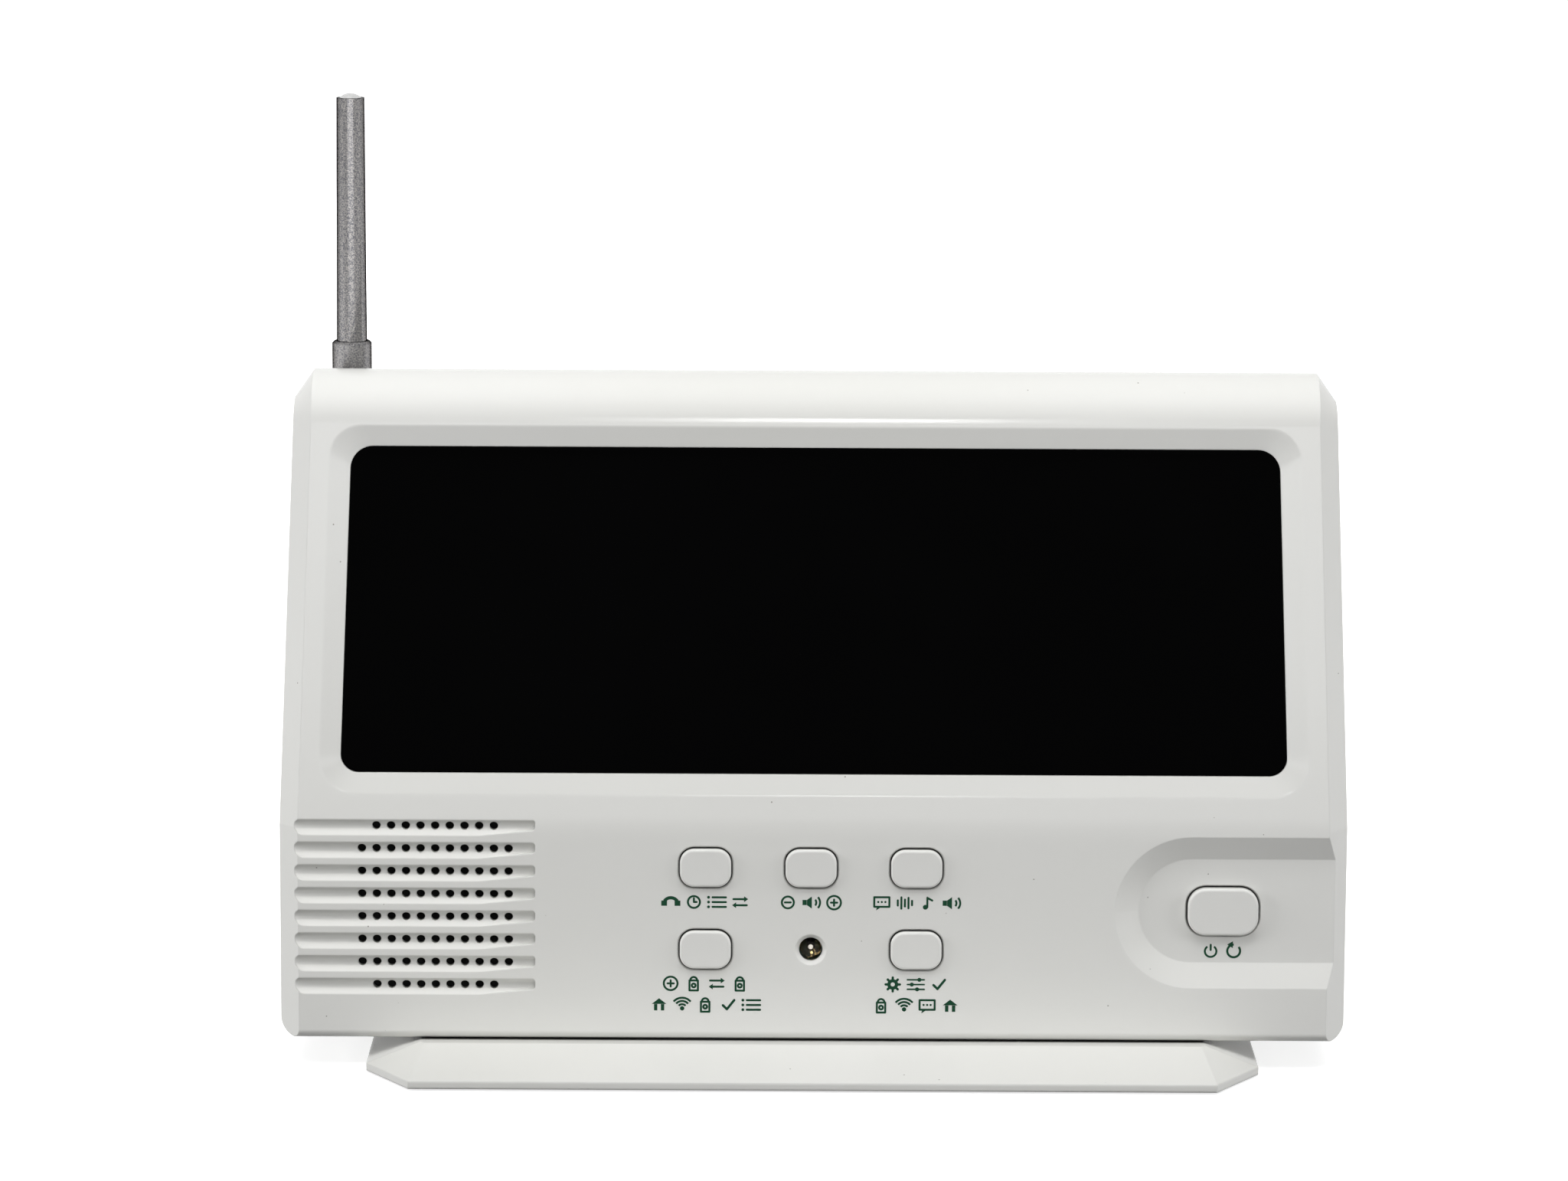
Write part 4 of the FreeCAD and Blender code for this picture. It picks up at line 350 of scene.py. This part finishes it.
def printed_ink(name):
    """Pad-printed green, a little uneven and matte."""
    material, tree, shader = new_material(name)
    wear = noise(tree, INK_WEAR)
    color_surface(tree, shader, ramp(tree, wear, LEGEND_GREEN, LEGEND_GREEN_WORN, start=0.35, end=0.75))
    roughen(tree, shader, wear, low=0.5, high=0.65)
    bump(tree, shader, wear, strength=0.2, depth=0.01 * MM)
    set_up(shader, Specular_IOR_Level=0.2)
    return material


def direct_view(tree):
    """1 for camera, glossy and transmission rays, 0 for the light that falls on things."""
    path = tree.nodes.new("ShaderNodeLightPath")
    total = path.outputs["Is Camera Ray"]
    for name in ("Is Glossy Ray", "Is Transmission Ray"):
        either = add(tree, "ShaderNodeMath", operation="MAXIMUM")
        tree.links.new(total, either.inputs[0])
        tree.links.new(path.outputs[name], either.inputs[1])
        total = either.outputs[0]
    return total


def floor_glow(tree):
    """White light that the floor adds, more of it far from the object."""
    distance = add(tree, "ShaderNodeVectorMath", operation="LENGTH")
    tree.links.new(object_place(tree), distance.inputs[0])
    strength = spread(tree, distance.outputs["Value"], FLOOR_GLOW, BACKGROUND, *FLOOR_GLOW_REACH)
    glow = tree.nodes.new("ShaderNodeEmission")
    tree.links.new(strength, glow.inputs["Strength"])
    return glow.outputs["Emission"]


def floor_paper(name):
    """White paper that glows a little in the picture, so that only shadows show on it."""
    material, tree, shader = new_material(name)
    fibres = noise(tree, PAPER_FIBRES, detail=5.0)
    color_surface(tree, shader, ramp(tree, fibres, FLOOR_SEEN_SHADE, FLOOR_SEEN))
    set_up(shader, Roughness=0.9, Specular_IOR_Level=0.1)
    seen = tree.nodes.new("ShaderNodeAddShader")
    tree.links.new(shader.outputs["BSDF"], seen.inputs[0])
    tree.links.new(floor_glow(tree), seen.inputs[1])
    bounce = add(tree, "ShaderNodeBsdfDiffuse", Color=FLOOR_BOUNCE)
    whole = mix_shaders(tree, direct_view(tree), bounce.outputs["BSDF"], seen.outputs["Shader"])
    tree.links.new(whole, tree.nodes["Material Output"].inputs["Surface"])
    return material


def moulded_materials():
    return {
        "white_case": moulded_plastic("white_case_plastic", CASE_WHITE, CASE_SHADE,
                                      roughness=0.14, rounding=0.4 * MM, dusty=True),
        "white_foot": moulded_plastic("white_foot_plastic", FOOT_WHITE, FOOT_SHADE,
                                      roughness=0.22, rounding=0.8 * MM, dusty=True),
        "white_key": moulded_plastic("white_key_plastic", KEY_WHITE, KEY_SHADE,
                                     roughness=0.22, rounding=0.15 * MM),
        "display_glass": moulded_plastic("display_panel_glass", PANEL_GLASS, PANEL_GLASS_SHADE,
                                         roughness=0.12, rounding=0.1 * MM),
        "antenna_cap": moulded_plastic("antenna_cap_plastic", CAP_GREY, CAP_SHADE,
                                       roughness=0.35, rounding=0.1 * MM),
    }


def single_materials():
    """The materials that are the only ones of their kind."""
    return {
        "black_window": tinted_window("tinted_window"),
        "clear_lamp": clear_epoxy("lamp_epoxy"),
        "green_board": circuit_board("board_solder_mask"),
    }


def metal_materials():
    return {
        "zinc_screw": brushed_metal("zinc_plate", ZINC, roughness=0.32),
        "nickel_contact": brushed_metal("nickel_plate", NICKEL, roughness=0.22),
        "speaker_frame": brushed_metal("speaker_black_metal", BLACK_STEEL, roughness=0.45),
        "cell_jacket": brushed_metal("cell_wrap", CELL_SLEEVE, roughness=0.30, stretch=ALONG_X),
        "antenna_grey": metallic_paint("antenna_paint", ROD_PAINT, roughness=0.16),
        "antenna_dark": metallic_paint("collar_paint", COLLAR_PAINT, roughness=0.30),
    }


def dull_materials():
    return {
        "black_foam": dull_material("gasket_foam", SOFT_BLACK),
        "black_component": dull_material("component_black", COMPONENT_BLACK),
        "black_plunger": dull_material("plunger_black", SOFT_BLACK),
        "ferrite": dull_material("ferrite_grey", FERRITE_GREY),
        "paper_cone": dull_material("cone_paper", CONE_BLACK),
        "rubber_pad": dull_material("pad_rubber", RUBBER_BLACK),
        "wire_jacket": dull_material("wire_red", WIRE_RED),
    }


OWN_FINISHES = {                       # nodes whose finish differs a little from the rest of their slot
    "foot": "white_foot",
    "antenna_collar": "antenna_dark",
    "antenna_knuckle": "antenna_dark",
}


def dress_nodes():
    """Give each CAD node the finish that its material slot names, or its own variant of it."""
    materials = {**moulded_materials(), **single_materials(), **metal_materials(), **dull_materials()}
    slots = {part["node"]: part["material_slot"] for part in frame["record"]["subparts"]}
    slots.update(OWN_FINISHES)
    for node, piece in frame["nodes"].items():
        for index in range(len(piece.data.materials)):
            piece.data.materials[index] = materials[slots[node]]


# ================================================================ outlines, as lists of (x, y) points
LINE = 0.46                            # the width of a drawn line, millimetres
END_STEPS = 8                          # sides of a line's round end,
DISC_STEPS = 24                        # of a disc,
BAND_STEPS = 20                        # and along a curved line's edge


def turned_points(x, y, radius, start, end, count):
    """Points on an arc; angles in degrees."""
    turns = [math.radians(start + (end - start) * index / count) for index in range(count + 1)]
    return [(x + radius * math.cos(turn), y + radius * math.sin(turn)) for turn in turns]


def disc(x, y, radius, count=DISC_STEPS):
    """A circle's points, without the last, which would repeat the first."""
    return turned_points(x, y, radius, 0, 360, count)[:-1]


def plate(x, y, width, height):
    """A filled rectangle about its middle."""
    left, right, low, high = x - width / 2, x + width / 2, y - height / 2, y + height / 2
    return [(left, low), (right, low), (right, high), (left, high)]


def stroke(x0, y0, x1, y1, width=LINE):
    """A straight line with round ends."""
    heading = math.degrees(math.atan2(y1 - y0, x1 - x0))
    return (turned_points(x1, y1, width / 2, heading - 90, heading + 90, END_STEPS)
            + turned_points(x0, y0, width / 2, heading + 90, heading + 270, END_STEPS))


def band(x, y, radius, start, end, width=LINE, count=BAND_STEPS):
    """A curved line as one strip; angles in degrees."""
    return (turned_points(x, y, radius + width / 2, start, end, count)
            + turned_points(x, y, radius - width / 2, end, start, count))


def ring(x, y, radius, width=LINE):
    """A round line, as two half bands."""
    return [band(x, y, radius, start, start + 180, width) for start in (0, 180)]


def box_outline(x, y, width, height):
    """A rectangle drawn with four lines."""
    corners = plate(x, y, width, height)
    return [stroke(*corner, *following) for corner, following in zip(corners, corners[1:] + corners[:1])]


# ================================================================ pictograms in millimetres, round (0, 0)
ROWS = (1.1, 0.0, -1.1)                # heights of three lines in a pictogram
WAVE_BARS = (0.6, 1.3, 0.8, 1.2, 0.5)  # half of each bar's height
WAVE_PITCH = 0.8
GEAR_TEETH = 8
TOOTH_START = 1.2                      # a tooth's ends, from the gear's middle
TOOTH_END = 1.6
BOLD = 0.55                            # a heavier line's width


def handset_icon():
    """A telephone handset: a bowed grip with two ends."""
    grip = band(0, -0.8, 1.75, 35, 145, width=0.75)
    return [grip] + [plate(side * 1.5, -0.3, 1.3, 1.2) for side in (-1, 1)]


def list_icon():
    """Three lines of a list, each with its dot."""
    shapes = []
    for row in ROWS:
        shapes += [disc(-1.9, row, 0.32), stroke(-1.0, row, 2.0, row)]
    return shapes


def loudspeaker_icon():
    """A loudspeaker from the side, with two waves before it."""
    magnet = plate(-1.425, 0, 0.95, 1.2)
    cone = [(-0.9, -0.6), (0.2, -1.4), (0.2, 1.4), (-0.9, 0.6)]
    return [magnet, cone] + [band(0.2, 0, radius, -42, 42) for radius in (1.0, 1.85)]


def speech_icon():
    """A speech bubble with three dots."""
    tail = [(-1.1, -1.0), (-0.2, -1.0), (-1.3, -1.75)]
    dots = [disc(x, 0.2, 0.24) for x in (-0.8, 0, 0.8)]
    return box_outline(0, 0.2, 3.4, 2.2) + [tail] + dots


def wave_icon():
    """A sound wave, drawn as upright bars."""
    shapes = []
    for index, half_height in enumerate(WAVE_BARS):
        x = (index - len(WAVE_BARS) // 2) * WAVE_PITCH
        shapes.append(stroke(x, -half_height, x, half_height))
    return shapes


def plus_icon():
    return ring(0, 0, 1.55) + [stroke(-0.7, 0, 0.7, 0), stroke(0, -0.7, 0, 0.7)]


def minus_icon():
    return ring(0, 0, 1.35) + [stroke(-0.65, 0, 0.65, 0)]


def pendant_icon():
    """A call pendant on its cord."""
    return box_outline(0, -0.45, 1.9, 2.3) + ring(0, -0.45, 0.42) + [band(0, 0.75, 0.75, 0, 180)]


def swap_icon():
    """Two arrows, there and back."""
    shafts = [stroke(-1.5, 0.7, 0.9, 0.7), stroke(-0.9, -0.7, 1.5, -0.7)]
    heads = [[(side * 0.9, side * 0.05), (side * 1.8, side * 0.7), (side * 0.9, side * 1.35)]
             for side in (1, -1)]
    return shafts + heads


def gear_icon():
    roots = disc(0, 0, TOOTH_START, GEAR_TEETH)
    tips = disc(0, 0, TOOTH_END, GEAR_TEETH)
    teeth = [stroke(*root, *tip, BOLD) for root, tip in zip(roots, tips)]
    return ring(0, 0, 0.85, width=0.75) + teeth


def sliders_icon():
    """Three sliders with their knobs."""
    shapes = []
    for row, knob_x in zip(ROWS, (0.8, -0.9, 0.3)):
        shapes += [stroke(-1.9, row, 1.9, row, width=0.36), disc(knob_x, row, 0.46)]
    return shapes


def restart_icon():
    """A round arrow."""
    head = [(-0.2, 2.25), (-0.2, 0.65), (-1.5, 1.45)]
    return [band(0, 0, 1.45, 90, 400, width=0.5, count=36), head]


def clock_icon():
    return ring(0, 0, 1.35) + [stroke(0, 0, 0, 0.85), stroke(0, 0, 0.6, 0)]


def note_icon():
    """A musical note: its head, stem and flag."""
    return [disc(-0.6, -0.95, 0.55), stroke(-0.15, -0.95, -0.15, 1.25), stroke(-0.15, 1.2, 0.95, 0.6)]


def house_icon():
    """A house: its roof, and a wall at each side of the door."""
    roof = [(-1.65, 0.15), (1.65, 0.15), (0, 1.45)]
    return [roof] + [plate(side * 0.775, -0.625, 0.75, 1.45) for side in (-1, 1)]


def check_icon():
    return [stroke(-1.2, -0.1, -0.3, -1.0, BOLD), stroke(-0.3, -1.0, 1.35, 1.1, BOLD)]


def radio_icon():
    """A sender with its waves."""
    return [disc(0, -0.85, 0.5)] + [band(0, -0.9, radius, 40, 140) for radius in (1.0, 1.75, 2.5)]


def power_icon():
    return [band(0, -0.1, 1.3, 125, 415, count=30), stroke(0, 0.2, 0, 1.4)]


# ================================================================ printed marks, in metres
PRINT_THICKNESS = 0.02 * MM
PRINT_STEP = 0.0005 * MM               # each shape stands this much prouder than the one before
PANEL_Y = -30.0 * MM                   # the upright panel's face
RESET_FLOOR_Y = -27.7 * MM             # the reset recess's floor
FIRST_LINE = 7.9 * MM                  # from a key's middle down to its first line of marks
SECOND_LINE = 12.8 * MM
RESET_LINE = 9.2 * MM
ICON_PITCH = 5.2 * MM                  # from one pictogram to the next
MARKS = {                              # key: surface, then lines of a drop and its pictograms
    "review_key": (PANEL_Y, ((FIRST_LINE, (handset_icon, clock_icon, list_icon, swap_icon)),)),
    "volume_key": (PANEL_Y, ((FIRST_LINE, (minus_icon, loudspeaker_icon, plus_icon)),)),
    "tone_key": (PANEL_Y, ((FIRST_LINE, (speech_icon, wave_icon, note_icon, loudspeaker_icon)),)),
    "add_key": (PANEL_Y, ((FIRST_LINE, (plus_icon, pendant_icon, swap_icon, pendant_icon)),
                          (SECOND_LINE, (house_icon, radio_icon, pendant_icon, check_icon, list_icon)))),
    "program_key": (PANEL_Y, ((FIRST_LINE, (gear_icon, sliders_icon, check_icon)),
                              (SECOND_LINE, (pendant_icon, radio_icon, speech_icon, house_icon)))),
    "reset_key": (RESET_FLOOR_Y, ((RESET_LINE, (power_icon, restart_icon)),)),
}


def middle(low, high):
    """The x and z of a box's middle, from its two corners."""
    return (low[0] + high[0]) / 2, (low[2] + high[2]) / 2


def extrude_outline(body, outline, front_y, back_y):
    """A flat plate with the outline's (x, z) points, from front_y to back_y."""
    front, back = [[body.verts.new((x, y, z)) for x, z in outline] for y in (front_y, back_y)]
    body.faces.new(front)
    body.faces.new(list(reversed(back)))
    for index in range(len(outline)):
        following = (index + 1) % len(outline)
        body.faces.new((front[index], back[index], back[following], front[following]))


def finish_piece(name, body, material):
    """Turn a bmesh into a piece that rides on the base."""
    bmesh.ops.recalc_face_normals(body, faces=body.faces)
    mesh = bpy.data.meshes.new(name)
    body.to_mesh(mesh)
    body.free()
    mesh.materials.append(material)
    piece = bpy.data.objects.new(name, mesh)
    bpy.context.scene.collection.objects.link(piece)
    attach(piece, "base")
    return piece


def print_mark(key, surface, lines, ink):
    """Thin raised pictograms in centred lines below a key."""
    low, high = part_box(key)
    key_x, key_z = middle(low, high)
    body = bmesh.new()
    layer = 0
    for drop, icons in lines:
        first_x = key_x - (len(icons) - 1) / 2 * ICON_PITCH
        for index, icon in enumerate(icons):
            icon_x = first_x + index * ICON_PITCH
            for shape in icon():
                layer += 1
                front_y = surface - PRINT_THICKNESS - layer * PRINT_STEP
                outline = [(icon_x + x * MM, key_z - drop + z * MM) for x, z in shape]
                extrude_outline(body, outline, front_y, surface + PRINT_THICKNESS)
    finish_piece(key.replace("_key", "_mark"), body, ink)


def print_marks():
    ink = printed_ink("legend_ink")
    for key, (surface, lines) in MARKS.items():
        print_mark(key, surface, lines, ink)


# ================================================================ inside of the lamp
TURN_STEPS = 32
QUAD = 4                               # corners of a face round a turned piece's side
HEAD_DROP = 0.20 * MM                  # from the lamp's middle down to the lead frame's head
HEAD_DEPTH = 3.6 * MM                  # from the lens's tip back to the head's flat face
HEAD_LENGTH = 0.50 * MM
HEAD_RADIUS = 0.36 * MM                # of the head's flat ends
NECK_LENGTH = 0.35 * MM                # the neck between them narrows over this length,
NECK_FRONT_RADIUS = 0.30 * MM          # from this radius,
NECK_BACK_RADIUS = 0.18 * MM           # to this, which it keeps behind that
CHIP_RADIUS = 0.15 * MM
CHIP_FRONT = 0.18 * MM                 # the chip's ends inside the neck, from the head's face
CHIP_BACK = 0.40 * MM
POST_RADIUS = 0.25 * MM
POST_LENGTH = 3.6 * MM                 # from the head's face back to the ends of both posts
WIRE_POST_RISE = 0.10 * MM             # how far the wire's post reaches before the head's face
WIRE_POST_TIP_RADIUS = 0.16 * MM
WIRE_POST_X = 0.12 * MM                # the wire's post, from the head
WIRE_POST_Z = -0.62 * MM


def turned_piece(name, profile, axis_x, axis_z, material):
    """A piece turned about an axis along Y from (y, radius) points, with flat ends and a smooth side."""
    body = bmesh.new()
    rings = []
    for y, radius in profile:
        circle = disc(axis_x, axis_z, radius, TURN_STEPS)
        rings.append([body.verts.new((x, y, z)) for x, z in circle])
    for circle, following in zip(rings, rings[1:]):
        for index in range(TURN_STEPS):
            after = (index + 1) % TURN_STEPS
            body.faces.new((circle[index], circle[after], following[after], following[index]))
    body.faces.new(rings[0])
    body.faces.new(list(reversed(rings[-1])))
    piece = finish_piece(name, body, material)
    for face in piece.data.polygons:
        face.use_smooth = len(face.vertices) == QUAD


def fill_lamp():
    """The lead frame inside the clear lens: a closed head round the chip on one post, and the wire's."""
    silver = brushed_metal("lamp_silver", LAMP_SILVER, roughness=0.16)
    gold = brushed_metal("lamp_gold", LAMP_GOLD, roughness=0.2)
    low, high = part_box("status_lamp")
    x, lens_z = middle(low, high)
    z = lens_z - HEAD_DROP
    face_y = low[1] + HEAD_DEPTH
    base_y = face_y + HEAD_LENGTH
    end_y = face_y + POST_LENGTH
    head = [(face_y, HEAD_RADIUS), (face_y, NECK_FRONT_RADIUS), (face_y + NECK_LENGTH, NECK_BACK_RADIUS),
            (base_y, NECK_BACK_RADIUS), (base_y, HEAD_RADIUS)]
    chip = [(face_y + CHIP_FRONT, CHIP_RADIUS), (face_y + CHIP_BACK, CHIP_RADIUS)]
    post = [(base_y, POST_RADIUS), (end_y, POST_RADIUS)]
    wire_post = [(face_y - WIRE_POST_RISE, WIRE_POST_TIP_RADIUS), (end_y, POST_RADIUS)]
    turned_piece("lamp_cup", head, x, z, silver)
    turned_piece("lamp_chip", chip, x, z, gold)
    turned_piece("lamp_cup_post", post, x, z, silver)
    turned_piece("lamp_wire_post", wire_post, x + WIRE_POST_X, z + WIRE_POST_Z, gold)


# ================================================================ stage
def make_floor():
    bpy.ops.mesh.primitive_plane_add(size=FLOOR_SIZE, location=(0, 0, 0))
    floor = bpy.context.object
    floor.name = "floor"
    floor.data.materials.append(floor_paper("floor_paper"))


def make_world():
    """Faint even light on the object, in front of a white background."""
    world = bpy.data.worlds.new("studio")
    world.use_nodes = True
    bpy.context.scene.world = world
    tree = world.node_tree
    fill = tree.nodes["Background"]
    set_up(fill, Color=PURE_WHITE, Strength=WORLD_FILL)
    backdrop = add(tree, "ShaderNodeBackground", Color=PURE_WHITE, Strength=BACKGROUND)
    whole = mix_shaders(tree, direct_view(tree), fill.outputs["Background"], backdrop.outputs["Background"])
    tree.links.new(whole, tree.nodes["World Output"].inputs["Surface"])


def make_lamps():
    for name, (place, width, height, watts, in_gloss) in LAMPS.items():
        data = bpy.data.lights.new(name, "AREA")
        data.shape = "RECTANGLE"
        data.size = width
        data.size_y = height
        data.energy = watts
        lamp = bpy.data.objects.new(name, data)
        lamp.location = place
        lamp.rotation_euler = (SUBJECT - Vector(place)).to_track_quat("-Z", "Y").to_euler()
        lamp.visible_glossy = in_gloss
        lamp.visible_camera = False
        bpy.context.scene.collection.objects.link(lamp)


def make_camera():
    """The photograph's camera: pitched down, then rolled a little."""
    ahead = Vector((0, math.cos(CAMERA_PITCH), -math.sin(CAMERA_PITCH)))
    level_right = Vector((1, 0, 0))
    level_up = level_right.cross(ahead)
    right = level_right * math.cos(CAMERA_ROLL) + level_up * math.sin(CAMERA_ROLL)
    up = level_up * math.cos(CAMERA_ROLL) - level_right * math.sin(CAMERA_ROLL)
    data = bpy.data.cameras.new("camera")
    data.sensor_width = SENSOR_WIDTH
    data.lens = FOCAL_LENGTH
    camera = bpy.data.objects.new("camera", data)
    turn = Matrix((right, up, -ahead)).transposed()
    camera.matrix_world = Matrix.Translation(CAMERA_PLACE) @ turn.to_4x4()
    bpy.context.scene.collection.objects.link(camera)
    bpy.context.scene.camera = camera


def main():
    make_camera()
    dress_nodes()
    print_marks()
    fill_lamp()
    make_floor()
    make_world()
    make_lamps()
    bpy.context.scene.view_settings.view_transform = "Standard"


main()
